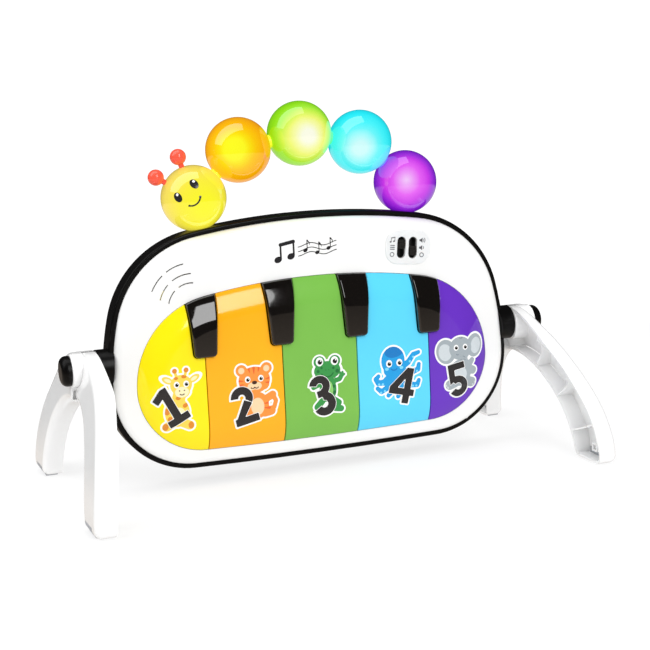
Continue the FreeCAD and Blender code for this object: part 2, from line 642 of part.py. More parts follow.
def leg_outline(inset):
    """Front leg's side profile as a face in the YZ plane, from the butt line to the sole."""
    cy, cz = INNER_ARC_CENTRE
    radius = INNER_ARC_RADIUS + inset

    def on_arc(y):
        return V(0, y, cz + math.sqrt(radius ** 2 - (y - cy) ** 2))

    sole = PAD_THICK + inset
    heel = V(0, cy - math.sqrt(radius ** 2 - (sole - cz) ** 2), sole)
    butt = on_arc(-BUTT_GAP)
    inner = Part.Arc(butt, on_arc(-60), heel).toShape()
    outer_points = moved_inside(LEG_OUTER_LINE, inset)
    outer = curve_through(outer_points)
    toe = V(0, TOE_Y, sole)
    knee = V(0, TOE_CORNER[0] + 0.7 * inset, TOE_CORNER[1] + 0.7 * inset)
    corner = Part.Arc(outer_points[-1], knee, toe).toShape()
    edges = [inner, Part.makeLine(heel, toe), corner, outer, Part.makeLine(outer_points[0], butt)]
    return Part.Face(Part.Wire(Part.__sortEdges__(edges)))


def face_edges(points, shift):
    """Section of a leg's inner or outer face: a straight stretch at the hub, then a curve down to the foot."""
    nodes = [V(x + shift, 0, z) for x, z in points]
    curve = Part.BSplineCurve()
    curve.interpolate(Points=nodes[1:], InitialTangent=nodes[1] - nodes[0], FinalTangent=nodes[-1] - nodes[-2])
    return [Part.makeLine(nodes[0], nodes[1]), curve.toShape()], nodes[0], nodes[-1]


def leg_slab(outer_face, inner_shift, outer_shift):
    """The leg's band in X, between its inner and outer faces."""
    inner, inner_top, inner_end = face_edges(LEG_INNER_FACE, inner_shift)
    outer, outer_top, outer_end = face_edges(outer_face, outer_shift)
    edges = inner + outer + [Part.makeLine(inner_top, outer_top), Part.makeLine(inner_end, outer_end)]
    face = Part.Face(Part.Wire(Part.__sortEdges__(edges)))
    face.translate(V(0, -170, 0))
    return face.extrude(V(0, 175, 0))


def outer_rim(blank):
    """Edges round the leg's outer face, without the butt line."""
    outside = []
    for face in blank.Faces:
        u0, u1, v0, v1 = face.ParameterRange
        if face.normalAt((u0 + u1) / 2, (v0 + v1) / 2).x > 0.7:
            outside.append(face)
    rim = []
    for edge in [e for face in outside for e in face.Edges]:
        owners = sum(any(edge.isSame(other) for other in face.Edges) for face in outside)
        if owners == 1 and edge.BoundBox.YMin < -BUTT_GAP - 0.01:
            rim.append(edge)
    return rim


def leg_blank(outer_face):
    side = leg_outline(0)
    side.translate(V(200, 0, 0))
    blank = side.extrude(V(55, 0, 0))
    heel = [e for e in blank.Edges if e.BoundBox.XLength > 50 and e.BoundBox.ZMax < 2 and e.BoundBox.YMin > -100]
    blank = blank.makeFillet(HEEL_ROUND, heel).common(leg_slab(outer_face, 0, 0))
    return blank.makeFillet(LEG_ROUND, outer_rim(blank))


def leg_hollow(outer_face):
    side = leg_outline(LEG_WALL)
    side.translate(V(200, 0, 0))
    hollow = side.extrude(V(55, 0, 0)).common(leg_slab(outer_face, -4, -LEG_WALL))
    return hollow.cut(rod(LEG_HUB_RADIUS + 3, (200, 0, HUB_Z), (250, 0, HUB_Z)))


def leg_ribs(hollow, outer_face):
    """Cross ribs in the channel, whose free edges dip in the middle."""
    cy, cz = INNER_ARC_CENTRE
    low = hollow.common(leg_slab(outer_face, 1.0, 0))
    ribs = []
    for angle, middle, rim_x in RIBS:
        plate = block(200, 250, cy - 0.8, cy + 0.8, cz, cz + 180)
        dip_x = rim_x + RIB_DIP - RIB_DIP_RADIUS
        plate = plate.cut(rod(RIB_DIP_RADIUS, (dip_x, cy - 2, cz + middle), (dip_x, cy + 2, cz + middle)))
        plate.rotate(V(0, cy, cz), X_AXIS, angle)
        ribs.append(low.common(plate))
    return ribs


def foot_boss(outer_face):
    """Small square socket on the channel's floor, near the foot."""
    socket = block(236, 250, *BOSS_Y, *BOSS_Z).common(leg_slab(outer_face, 0, -1.0))
    return socket.cut(block(235, 241, BOSS_Y[0] + 1.6, BOSS_Y[1] - 1.6, BOSS_Z[0] + 1.6, BOSS_Z[1] - 1.6))


def leg_arm(outer_face):
    hollow = leg_hollow(outer_face)
    return merged([leg_blank(outer_face).cut(hollow), foot_boss(outer_face)] + leg_ribs(hollow, outer_face))


def right_leg(front):
    outer_face = FRONT_OUTER_FACE if front else REAR_OUTER_FACE
    arm = leg_arm(outer_face).cut(pad_space(PAD_GAP))
    if front:
        disc = rod(LEG_HUB_RADIUS, (LEG_IN_X, 0, HUB_Z), (LAP_X - LAP_GAP, 0, HUB_Z))
        clear_x = (LAP_X - LAP_GAP, LEG_OUT_X + 5)
    else:
        arm = arm.mirror(V(0, 0, 0), Y_AXIS)
        disc = rod(LEG_HUB_RADIUS, (LAP_X + LAP_GAP, 0, HUB_Z), (LEG_OUT_X, 0, HUB_Z))
        disc = disc.makeFillet(LEG_HUB_ROUND, [e for e in disc.Edges if e.BoundBox.XMin > LEG_OUT_X - 0.1])
        clear_x = (LEG_IN_X - 5, LAP_X + LAP_GAP)
    arm = arm.cut(rod(LEG_HUB_CLEAR, (clear_x[0], 0, HUB_Z), (clear_x[1], 0, HUB_Z)))
    return merged([arm, disc]).cut(rod(PIN_RADIUS + 0.08, (190, 0, HUB_Z), (240, 0, HUB_Z)))


def pad_space(gap):
    """Corner of the foot that the pad takes: it wraps up the outer face and lies a little into the sole."""
    wrap = block(PAD_WRAP_X - gap, 252, PAD_Y[0] - gap, PAD_Y[1] + gap, -1, PAD_HEIGHT + gap)
    tread = block(PAD_TREAD_X - gap, PAD_WRAP_X + 1, PAD_Y[0] - gap, PAD_Y[1] + gap, -1, PAD_THICK + 0.8 + gap)
    return merged([wrap, tread])


def right_pad(front):
    outer_face = FRONT_OUTER_FACE if front else REAR_OUTER_FACE
    inlay = leg_blank(outer_face).common(pad_space(0))
    tread = block(PAD_TREAD_X, PAD_WRAP_X + 2, *PAD_Y, 0, PAD_THICK + 0.5)
    pad = merged([inlay, tread])
    return pad if front else pad.mirror(V(0, 0, 0), Y_AXIS)


def right_pin():
    return rod(PIN_RADIUS, (184, 0, HUB_Z), (233.5, 0, HUB_Z))


def right_cap():
    cap = rod(CAP_RADIUS, (CAP_X, 0, HUB_Z), (CAP_END_X, 0, HUB_Z))
    rim = [e for e in cap.Edges if e.BoundBox.XMin > CAP_END_X - 0.1]
    return cap.makeFillet(6.0, rim).cut(rod(PIN_RADIUS, (CAP_X - 1, 0, HUB_Z), (233.5, 0, HUB_Z)))


def right_washer():
    ring = rod(8.8, (205.0, 0, HUB_Z), (HUB_END_X, 0, HUB_Z))
    return ring.cut(rod(PIN_RADIUS + 0.05, (200, 0, HUB_Z), (210, 0, HUB_Z)))


# ---------------------------------------------------------------- all parts

def all_parts():
    parts = {
        "front_bezel": front_bezel(),
        "rear_shell": rear_shell(),
        "case_screws": case_screws(),
        "key_frame": key_frame(),
        "key_pivot_rod": pivot_rod(),
        "key_board": key_board(),
        "key_board_screws": board_screws(),
        "switch_plate": switch_plate(),
        "switch_board": switch_board(),
        "mode_switch_body": switch_body(SWITCH_XS[0]),
        "volume_switch_body": switch_body(SWITCH_XS[1]),
        "mode_switch_knob": switch_knob(SWITCH_XS[0], KNOB_OFFSETS[0]),
        "volume_switch_knob": switch_knob(SWITCH_XS[1], KNOB_OFFSETS[1]),
        "speaker_basket": speaker_basket(),
        "speaker_cone": speaker_cone(),
        "speaker_magnet": speaker_magnet(),
        "main_board": main_board(),
        "main_board_parts": board_parts(),
        "battery_box": battery_box(),
        "batteries": batteries(),
        "battery_contacts": battery_contacts(),
        "battery_door": battery_door(),
        "battery_door_screw": door_screw(),
        "arch_tube": arch_tube(ARCH_RADIUS).cut(arch_tube(ARCH_RADIUS - ARCH_WALL)),
        "led_modules": led_modules(),
    }
    for index, name in enumerate(KEY_NAMES):
        parts[f"key_{index + 1}_{name}"] = coloured_key(index)
        parts[f"key_dome_{index + 1}"] = key_dome(index)
    for index in range(4):
        parts[f"black_key_{index + 1}"] = black_key(index)
    for index, name in enumerate(BALL_NAMES):
        parts[f"light_ball_{index + 1}_{name}"] = light_ball(index)
    for index, angle in enumerate(ANTENNA_ANGLES):
        parts[f"antenna_{index + 1}"] = antenna(angle)
    legs = {"front": right_leg(True), "rear": right_leg(False)}
    pads = {"front": right_pad(True), "rear": right_pad(False)}
    for side_name, side in SIDES:
        for end in ("front", "rear"):
            parts[f"{side_name}_{end}_leg"] = mirrored(legs[end], side)
            parts[f"{side_name}_{end}_foot_pad"] = mirrored(pads[end], side)
        parts[f"{side_name}_hub_pin"] = mirrored(right_pin(), side)
        parts[f"{side_name}_hub_cap"] = mirrored(right_cap(), side)
    parts["hub_washers"] = Part.makeCompound([mirrored(right_washer(), side) for _, side in SIDES])
    return parts


def main():
    os.makedirs("parts", exist_ok=True)
    for name, shape in all_parts().items():
        if not shape.isValid() or not shape.Solids:
            raise ValueError(f"{name} is not a valid solid")
        print(f"{name}: {len(shape.Solids)} solid(s), {shape.Volume / 1000:.2f} cm3")
        shape.exportStep(f"parts/{name}.step")


main()
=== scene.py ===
import bpy
import math
import numpy as np
from mathutils import Matrix, Vector
from mathutils.bvhtree import BVHTree


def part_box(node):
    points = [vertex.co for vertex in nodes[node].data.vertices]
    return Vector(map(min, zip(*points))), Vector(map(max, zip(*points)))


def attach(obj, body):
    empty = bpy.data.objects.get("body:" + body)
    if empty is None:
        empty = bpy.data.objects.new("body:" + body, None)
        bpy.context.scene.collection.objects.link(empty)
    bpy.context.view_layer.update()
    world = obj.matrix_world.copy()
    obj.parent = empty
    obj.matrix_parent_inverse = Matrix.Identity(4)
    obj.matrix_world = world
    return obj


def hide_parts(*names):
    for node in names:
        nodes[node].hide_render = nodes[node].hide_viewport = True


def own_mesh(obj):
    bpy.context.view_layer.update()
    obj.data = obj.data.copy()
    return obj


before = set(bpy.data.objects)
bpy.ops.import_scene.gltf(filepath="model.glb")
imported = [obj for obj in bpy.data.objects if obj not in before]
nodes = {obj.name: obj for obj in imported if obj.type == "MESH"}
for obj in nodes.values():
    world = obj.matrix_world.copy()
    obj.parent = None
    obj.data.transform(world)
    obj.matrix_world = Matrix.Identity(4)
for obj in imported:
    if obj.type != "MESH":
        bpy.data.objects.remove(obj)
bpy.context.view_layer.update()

# Toy piano unit of an activity gym. The CAD nodes keep their shapes and get their materials here;
# the stickers on the keys, the switch symbols, the emblem and the face of the head ball are added, and
# copies stand for the rubber domes under the keys.
# Metres, in the frame of the CAD model. Drawings on the toy are given in millimetres.

MM = 0.001


# ---------------------------------------------------------------- camera

CAMERA_PLACE = (-0.48161, -1.35557, 0.38087)
CAMERA_TURN = 20.098     # degrees to the right of the Y axis
CAMERA_DOWN = 9.652
CAMERA_ROLL = 2.737
CAMERA_LENS = 85.48


def camera_axes():
    """The picture's right, its down and the camera's line of sight."""
    turn, down, roll = (math.radians(a) for a in (CAMERA_TURN, CAMERA_DOWN, CAMERA_ROLL))
    right = Vector((math.cos(turn), -math.sin(turn), 0))
    level = Vector((math.sin(turn), math.cos(turn), 0))
    floorward = Vector((0, 0, -1))
    ahead = level * math.cos(down) + floorward * math.sin(down)
    below = floorward * math.cos(down) - level * math.sin(down)
    picture_right = right * math.cos(roll) + below * math.sin(roll)
    picture_down = below * math.cos(roll) - right * math.sin(roll)
    return picture_right, picture_down, ahead


def make_camera():
    """A long lens a little above the toy, to the left of its front, rolled slightly."""
    right, down, ahead = camera_axes()
    data = bpy.data.cameras.new("camera")
    data.sensor_width = 36
    data.lens = CAMERA_LENS
    camera = bpy.data.objects.new("camera", data)
    turned = Matrix((right, -down, -ahead)).transposed().to_4x4()
    camera.matrix_world = Matrix.Translation(CAMERA_PLACE) @ turned
    bpy.context.scene.collection.objects.link(camera)
    bpy.context.scene.camera = camera


# ---------------------------------------------------------------- studio

FLOOR_X = (-0.75, 0.75)
FLOOR_Y = (-0.5, 0.5)
FLOOR_Z = -0.0003
FLOOR_PAINT = 0.32
FLOOR_GLOW = 0.68
AIM = Vector((0, 0, 0.16))


def add_floor():
    """A white sheet under the toy, lit from behind so that it blends into the white surroundings."""
    (left, right), (front, back) = FLOOR_X, FLOOR_Y
    corners = [(x, y, FLOOR_Z) for x, y in ((left, front), (right, front), (right, back), (left, back))]
    mesh = bpy.data.meshes.new("floor")
    mesh.from_pydata(corners, [], [(0, 1, 2, 3)])
    floor = bpy.data.objects.new("floor", mesh)
    bpy.context.scene.collection.objects.link(floor)
    material = bpy.data.materials.new("studio_paper")
    material.use_nodes = True
    shader = material.node_tree.nodes["Principled BSDF"]
    shader.inputs["Base Color"].default_value = (FLOOR_PAINT, FLOOR_PAINT, FLOOR_PAINT, 1)
    shader.inputs["Emission Color"].default_value = (1, 1, 1, 1)
    shader.inputs["Emission Strength"].default_value = FLOOR_GLOW
    shader.inputs["Roughness"].default_value = 0.9
    shader.inputs["Specular IOR Level"].default_value = 0.0
    mesh.materials.append(material)
    floor.visible_glossy = False


def add_softbox(name, place, size, watts):
    """A rectangular lamp that looks at the toy."""
    data = bpy.data.lights.new(name, "AREA")
    data.shape = "RECTANGLE"
    data.size, data.size_y = size
    data.energy = watts
    lamp = bpy.data.objects.new(name, data)
    place = Vector(place)
    turned = (AIM - place).to_track_quat("-Z", "Y").to_matrix().to_4x4()
    lamp.matrix_world = Matrix.Translation(place) @ turned
    lamp.visible_camera = False
    bpy.context.scene.collection.objects.link(lamp)
    return lamp


def keep_off_balls(lamp):
    """The lamp leaves the light balls alone, which shine by themselves."""
    others = bpy.data.collections.new(lamp.name + "_leaves_out")
    for name in BALL_NODES.values():
        others.objects.link(nodes[name])
    lamp.light_linking.receiver_collection = others
    for entry in others.collection_objects:
        entry.light_linking.link_state = "EXCLUDE"


def set_stops(ramp, stops):
    """Gives a colour ramp its (position, colour) pairs."""
    elements = ramp.color_ramp.elements
    while len(elements) < len(stops):
        elements.new(0.5)
    for element, (position, colour) in zip(elements, stops):
        element.position = position
        element.color = colour


# Room in the reflections: (height of the line of sight, 0 straight down to 1 straight up; light)
ROOM_LEVELS = ((0.2, (0.5, 0.45, 0.4, 1)), (0.4, (0.55, 0.46, 0.38, 1)),
               (0.43, (0.03, 0.03, 0.03, 1)), (1.0, (0.02, 0.02, 0.02, 1)))
BACKDROP = 1.1           # light of the surroundings to the camera, a little over white
FILL = 0.76              # light of the surroundings on the toy


def make_world():
    """White to the camera; reflections see a dark room above and its warm bright floor below."""
    world = bpy.data.worlds.new("studio")
    bpy.context.scene.world = world
    world.use_nodes = True
    tree = world.node_tree
    tree.nodes.clear()
    path = tree.nodes.new("ShaderNodeLightPath")
    white = tree.nodes.new("ShaderNodeBackground")
    white.inputs["Color"].default_value = (1, 1, 1, 1)
    white.inputs["Strength"].default_value = BACKDROP
    room = tree.nodes.new("ShaderNodeBackground")
    place = tree.nodes.new("ShaderNodeTexCoord")
    parts = tree.nodes.new("ShaderNodeSeparateXYZ")
    tree.links.new(place.outputs["Generated"], parts.inputs[0])
    height = tree.nodes.new("ShaderNodeMapRange")
    height.inputs["From Min"].default_value = -1.0
    height.inputs["From Max"].default_value = 1.0
    tree.links.new(parts.outputs["Z"], height.inputs["Value"])
    levels = tree.nodes.new("ShaderNodeValToRGB")
    set_stops(levels, ROOM_LEVELS)
    tree.links.new(height.outputs["Result"], levels.inputs["Fac"])
    tree.links.new(levels.outputs["Color"], room.inputs["Color"])
    room.inputs["Strength"].default_value = 1.0
    fill = tree.nodes.new("ShaderNodeBackground")
    fill.inputs["Color"].default_value = (1, 1, 1, 1)
    fill.inputs["Strength"].default_value = FILL
    light = tree.nodes.new("ShaderNodeMixShader")
    seen = tree.nodes.new("ShaderNodeMixShader")
    output = tree.nodes.new("ShaderNodeOutputWorld")
    tree.links.new(path.outputs["Is Glossy Ray"], light.inputs[0])
    tree.links.new(fill.outputs[0], light.inputs[1])
    tree.links.new(room.outputs[0], light.inputs[2])
    tree.links.new(path.outputs["Is Camera Ray"], seen.inputs[0])
    tree.links.new(light.outputs[0], seen.inputs[1])
    tree.links.new(white.outputs[0], seen.inputs[2])
    tree.links.new(seen.outputs[0], output.inputs[0])


def make_studio():
    """Paper floor, a long softbox high on the left and one in front on the right."""
    add_floor()
    make_world()
    add_softbox("softbox_left", (-0.72, 0.05, 1.5), (1.0, 2.6), 14)
    keep_off_balls(add_softbox("softbox_front", (0.12, -1.42, 0.93), (0.54, 1.1), 9.5))
    scene = bpy.context.scene
    scene.view_settings.view_transform = "Standard"


# ---------------------------------------------------------------- materials

def linear(red, green, blue):
    """A colour given as 0-255 display values, in linear light, with alpha."""
    parts = [c / 255 for c in (red, green, blue)]
    return tuple(c / 12.92 if c < 0.04045 else ((c + 0.055) / 1.055) ** 2.4 for c in parts) + (1,)


def shaded(colour, factor):
    """The same colour, darker or lighter."""
    return tuple(min(1.0, c * factor) for c in colour[:3]) + (1,)


class Maker:
    """A material under construction: a Principled shader and short calls for the nodes that feed it."""

    def __init__(self, name, **settings):
        self.material = bpy.data.materials.new(name)
        self.material.use_nodes = True
        self.tree = self.material.node_tree
        self.shader = self.tree.nodes["Principled BSDF"]
        for socket, value in settings.items():
            self.shader.inputs[socket.replace("_", " ")].default_value = value
        self.place = self.node("ShaderNodeTexCoord").outputs["Object"]

    def node(self, kind, **attributes):
        made = self.tree.nodes.new(kind)
        for attribute, value in attributes.items():
            setattr(made, attribute, value)
        return made

    def link(self, source, target):
        self.tree.links.new(source, target)

    def feed(self, socket, source):
        self.link(source, self.shader.inputs[socket])

    def stretched(self, scale):
        """Object coordinates, stretched along the axes."""
        mapping = self.node("ShaderNodeMapping")
        mapping.inputs["Scale"].default_value = scale
        self.link(self.place, mapping.inputs["Vector"])
        return mapping.outputs["Vector"]

    def noise(self, scale, detail=3.0, rough=0.5, place=None):
        texture = self.node("ShaderNodeTexNoise")
        texture.inputs["Scale"].default_value = scale
        texture.inputs["Detail"].default_value = detail
        texture.inputs["Roughness"].default_value = rough
        self.link(place or self.place, texture.inputs["Vector"])
        return texture.outputs["Fac"]

    def ramp(self, value, *stops):
        """Colours along a value: (position, colour) pairs."""
        ramp = self.node("ShaderNodeValToRGB")
        set_stops(ramp, stops)
        self.link(value, ramp.inputs["Fac"])
        return ramp.outputs["Color"]

    def span(self, value, low, high, start=0.3, end=0.7):
        """The value's stretch start..end, spread over low..high."""
        spread = self.node("ShaderNodeMapRange")
        for socket, number in (("From Min", start), ("From Max", end), ("To Min", low), ("To Max", high)):
            spread.inputs[socket].default_value = number
        self.link(value, spread.inputs["Value"])
        return spread.outputs["Result"]

    def maths(self, operation, first, second):
        """Arithmetic on two sockets or plain numbers."""
        made = self.node("ShaderNodeMath", operation=operation)
        for slot, source in enumerate((first, second)):
            if isinstance(source, (int, float)):
                made.inputs[slot].default_value = source
            else:
                self.link(source, made.inputs[slot])
        return made.outputs[0]

    def bump(self, height, depth):
        """Relief of that depth in metres."""
        made = self.node("ShaderNodeBump")
        made.inputs["Strength"].default_value = 1.0
        made.inputs["Distance"].default_value = depth
        self.link(height, made.inputs["Height"])
        return made.outputs["Normal"]


def gloss_plastic(name, colour, roughness, spread=0.05, drift=0.03, peel=0.00001, coat=0.35):
    """Moulded gloss plastic: slight drift of the colour, uneven polish, orange peel and fine rubs."""
    maker = Maker(name, Coat_Weight=coat, Coat_Roughness=0.03)
    cloud = maker.noise(14, 3)
    tones = maker.ramp(cloud, (0.3, shaded(colour, 1 - drift)), (0.7, shaded(colour, 1 + drift)))
    maker.feed("Base Color", tones)
    rubs = maker.noise(60, 8, 0.75, maker.stretched((1, 1, 7)))
    polish = maker.maths("MULTIPLY", maker.noise(38, 4), rubs)
    maker.feed("Roughness", maker.span(polish, roughness, roughness + spread, 0.12, 0.4))
    peel_height = maker.noise(420, 2)
    maker.feed("Normal", maker.bump(peel_height, peel))
    return maker.material


def shell_plastic(name):
    """Deep black shell with polished sides and a rougher, grained, spark-eroded back, whose paler grey is a
    painted sheen.
    """
    maker = Maker(name, Specular_IOR_Level=0.2)
    place = maker.node("ShaderNodeSeparateXYZ")
    maker.link(maker.place, place.inputs["Vector"])
    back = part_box("rear_shell")[1].y
    rear = maker.span(place.outputs["Y"], 0.0, 1.0, back - 0.006, back - 0.0005)
    # Painted sheen: the back's base colour is paler grey. Its extra roughness and grain below are the real
    # eroded finish.
    maker.feed("Base Color", maker.ramp(rear, (0.0, linear(7, 6, 6)), (1.0, linear(46, 45, 44))))
    polish = maker.span(maker.noise(38, 4), 0.3, 0.38)
    maker.feed("Roughness", maker.maths("ADD", polish, maker.maths("MULTIPLY", rear, 0.15)))
    grain = maker.maths("MULTIPLY", maker.noise(1500, 3, 0.6), rear)
    maker.feed("Normal", maker.bump(grain, 0.00006))
    return maker.material


def satin_plastic(name, colour, roughness=0.42):
    """Spark-eroded mould texture: fine pebble grain, half matt."""
    maker = Maker(name)
    cloud = maker.noise(20, 4)
    maker.feed("Base Color", maker.ramp(cloud, (0.3, shaded(colour, 0.93)), (0.7, shaded(colour, 1.06))))
    maker.feed("Roughness", maker.span(maker.noise(90, 5), roughness - 0.05, roughness + 0.08))
    maker.feed("Normal", maker.bump(maker.noise(1900, 3, 0.6), 0.00004))
    return maker.material


def rubber(name, colour):
    """Matt rubber with a fine grain and lighter scuffs."""
    maker = Maker(name, Specular_IOR_Level=0.35)
    cloud = maker.noise(45, 6, 0.7)
    maker.feed("Base Color", maker.ramp(cloud, (0.35, shaded(colour, 0.85)), (0.75, shaded(colour, 1.12))))
    maker.feed("Roughness", maker.span(maker.noise(160, 4), 0.62, 0.85))
    maker.feed("Normal", maker.bump(maker.noise(1400, 5, 0.65), 0.00008))
    return maker.material


def brushed_steel(name):
    """Zinc-plated steel with fine draw lines."""
    maker = Maker(name, Metallic=1.0, Anisotropic=0.4)
    lines = maker.noise(300, 6, 0.7, maker.stretched((1, 12, 12)))
    maker.feed("Base Color", maker.ramp(lines, (0.3, (0.42, 0.42, 0.43, 1)), (0.7, (0.66, 0.66, 0.67, 1))))
    maker.feed("Roughness", maker.span(lines, 0.22, 0.4))
    maker.feed("Normal", maker.bump(lines, 0.00002))
    return maker.material


def circuit_board(name):
    """Green solder mask over etched tracks."""
    maker = Maker(name, Coat_Weight=0.3, Coat_Roughness=0.1)
    bands = maker.node("ShaderNodeTexWave", wave_type="BANDS", bands_direction="DIAGONAL")
    bands.inputs["Scale"].default_value = 120
    bands.inputs["Distortion"].default_value = 3.0
    bands.inputs["Detail"].default_value = 0.5
    maker.link(maker.place, bands.inputs["Vector"])
    tracks = bands.outputs["Fac"]
    maker.feed("Base Color", maker.ramp(tracks, (0.45, linear(12, 72, 36)), (0.55, linear(34, 120, 62))))
    maker.feed("Roughness", maker.span(maker.noise(80), 0.28, 0.42))
    maker.feed("Normal", maker.bump(tracks, 0.00003))
    return maker.material


def speaker_paper(name):
    """Pressed paper pulp with rings."""
    maker = Maker(name, Specular_IOR_Level=0.25)
    fibres = maker.noise(700, 8, 0.8)
    maker.feed("Base Color", maker.ramp(fibres, (0.3, linear(24, 23, 22)), (0.75, linear(70, 66, 62))))
    maker.feed("Roughness", maker.span(fibres, 0.75, 0.95))
    maker.feed("Normal", maker.bump(fibres, 0.00012))
    return maker.material


def battery_jacket(name):
    """Printed sleeve in two plain tones with a metallic sheen."""
    maker = Maker(name, Metallic=0.55, Coat_Weight=0.5, Coat_Roughness=0.08)
    along = maker.node("ShaderNodeSeparateXYZ")
    maker.link(maker.place, along.inputs["Vector"])
    low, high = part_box("batteries")
    position = maker.span(along.outputs["X"], 0.0, 1.0, low.x, high.x)
    tones = maker.ramp(position, (0.24, linear(170, 110, 60)), (0.26, linear(34, 36, 44)))
    maker.feed("Base Color", tones)
    maker.feed("Roughness", maker.span(maker.noise(120), 0.2, 0.35))
    return maker.material


def milky_plastic(name, colour, scale):
    """Translucent moulding that scatters the light inside."""
    maker = Maker(name, Subsurface_Weight=0.6, Subsurface_Scale=scale, Coat_Weight=0.3, Coat_Roughness=0.05)
    maker.shader.inputs["Subsurface Radius"].default_value = (1.0, 0.9, 0.85)
    cloud = maker.noise(25, 3)
    maker.feed("Base Color", maker.ramp(cloud, (0.3, shaded(colour, 0.96)), (0.7, shaded(colour, 1.03))))
    maker.feed("Roughness", maker.span(maker.noise(60, 4), 0.14, 0.24))
    maker.feed("Normal", maker.bump(maker.noise(500, 2), 0.00001))
    return maker.material


BALL_STRENGTH = 0.8      # brightness of the balls' glow
TUBE_STRENGTH = 0.7


def lit_ball(name, centre, lamp, stops):
    """Translucent ball lit from inside: the lamp's spot glows through the wall and fades round the ball."""
    maker = Maker(name, Coat_Weight=0.8, Coat_Roughness=0.02)
    outward = maker.node("ShaderNodeVectorMath", operation="SUBTRACT")
    outward.inputs[1].default_value = centre
    maker.link(maker.place, outward.inputs[0])
    direction = maker.node("ShaderNodeVectorMath", operation="NORMALIZE")
    maker.link(outward.outputs["Vector"], direction.inputs[0])
    towards = maker.node("ShaderNodeVectorMath", operation="DISTANCE")
    towards.inputs[1].default_value = lamp
    maker.link(direction.outputs["Vector"], towards.inputs[0])
    cloud = maker.span(maker.noise(45, 3), -0.02, 0.02)
    spread = maker.maths("ADD", maker.maths("MULTIPLY", towards.outputs["Value"], 0.5), cloud)
    colours = [(reach / 2, linear(*colour)) for reach, colour in stops]
    last = colours[-1][1]
    maker.feed("Emission Color", maker.ramp(spread, *colours, (1.0, shaded(last, 0.75))))
    maker.shader.inputs["Emission Strength"].default_value = BALL_STRENGTH
    # Painted light: the wall's base colour is a dim copy of the glow, graded from the lamp's spot round the
    # ball.
    wall = maker.ramp(spread, (0.0, shaded(colours[0][1], 0.25)), (0.6, shaded(last, 0.25)))
    maker.feed("Base Color", wall)
    maker.feed("Roughness", maker.span(maker.noise(30, 4), 0.05, 0.09))
    return maker.material


# Painted light: the colours of the balls' light, which the tube glows with and is tinted by along its length.
TUBE_GLOW_COLOURS = ((250, 206, 20), (206, 214, 24), (84, 236, 130), (96, 110, 238))


def light_tube(name):
    """Frosted tube that carries the balls' light as painted light: its glow and its base colour take the
    colours of the balls on both sides.
    """
    maker = Maker(name, Coat_Weight=0.2, Coat_Roughness=0.1)
    place = maker.node("ShaderNodeSeparateXYZ")
    maker.link(maker.place, place.inputs["Vector"])
    low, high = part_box("arch_tube")
    position = maker.span(place.outputs["X"], 0.0, 1.0, low.x, high.x)
    stops = [(0.125 + 0.25 * k, linear(*colour)) for k, colour in enumerate(TUBE_GLOW_COLOURS)]
    glow = maker.ramp(position, *stops)
    maker.feed("Emission Color", glow)
    maker.shader.inputs["Emission Strength"].default_value = TUBE_STRENGTH
    # The base colour is painted light as well: the same colours of the balls' light.
    maker.feed("Base Color", glow)
    maker.feed("Roughness", maker.span(maker.noise(200, 4), 0.4, 0.6))
    maker.feed("Normal", maker.bump(maker.noise(900, 3), 0.00002))
    return maker.material


def lamp_direction(aside, above):
    """The direction from a ball's centre that shows that far right of and above its middle, in radii."""
    right, down, ahead = camera_axes()
    towards = math.sqrt(1 - aside ** 2 - above ** 2)
    return right * aside - down * above - ahead * towards


# Lit balls: lamp's place (right, up), then the glow's colours with their distances from it, in radii
BALL_GLOW = {
    "head": ((0.45, -0.35), ((0.3, (255, 252, 40)), (0.8, (253, 243, 52)), (1.3, (251, 230, 92)),
                             (1.7, (244, 216, 105)))),
    "orange": ((-0.07, -0.07), ((0.32, (255, 255, 35)), (0.47, (253, 230, 8)), (0.68, (255, 200, 2)),
                                (0.9, (255, 184, 4)), (1.4, (250, 162, 4)))),
    "green": ((0.31, -0.19), ((0.2, (255, 255, 235)), (0.4, (255, 255, 165)), (0.6, (249, 253, 96)),
                              (0.8, (212, 250, 50)), (1.0, (162, 241, 26)), (1.3, (140, 224, 20)))),
    "blue": ((0.0, -0.32), ((0.2, (211, 255, 254)), (0.4, (165, 255, 255)), (0.6, (90, 251, 253)),
                            (0.85, (50, 249, 254)), (1.5, (20, 232, 250)))),
    "purple": ((0.0, -0.05), ((0.03, (246, 199, 254)), (0.22, (244, 150, 253)), (0.46, (240, 70, 252)),
                              (0.74, (215, 10, 242)), (0.95, (168, 18, 230)), (1.15, (133, 22, 213)),
                              (1.45, (104, 22, 190)))),
}
BALL_NODES = {"head": "light_ball_1_head", "orange": "light_ball_2_orange", "green": "light_ball_3_green",
              "blue": "light_ball_4_blue", "purple": "light_ball_5_purple"}


def ball_centre(node):
    """Middle of a ball's box."""
    low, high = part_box(node)
    return (low + high) / 2


def ball_materials():
    """One lit material for each ball, by record slot."""
    made = {}
    for name, (lamp, stops) in BALL_GLOW.items():
        centre = ball_centre(BALL_NODES[name])
        made["ball_" + name] = lit_ball("ball_" + name, centre, lamp_direction(*lamp), stops)
    return made


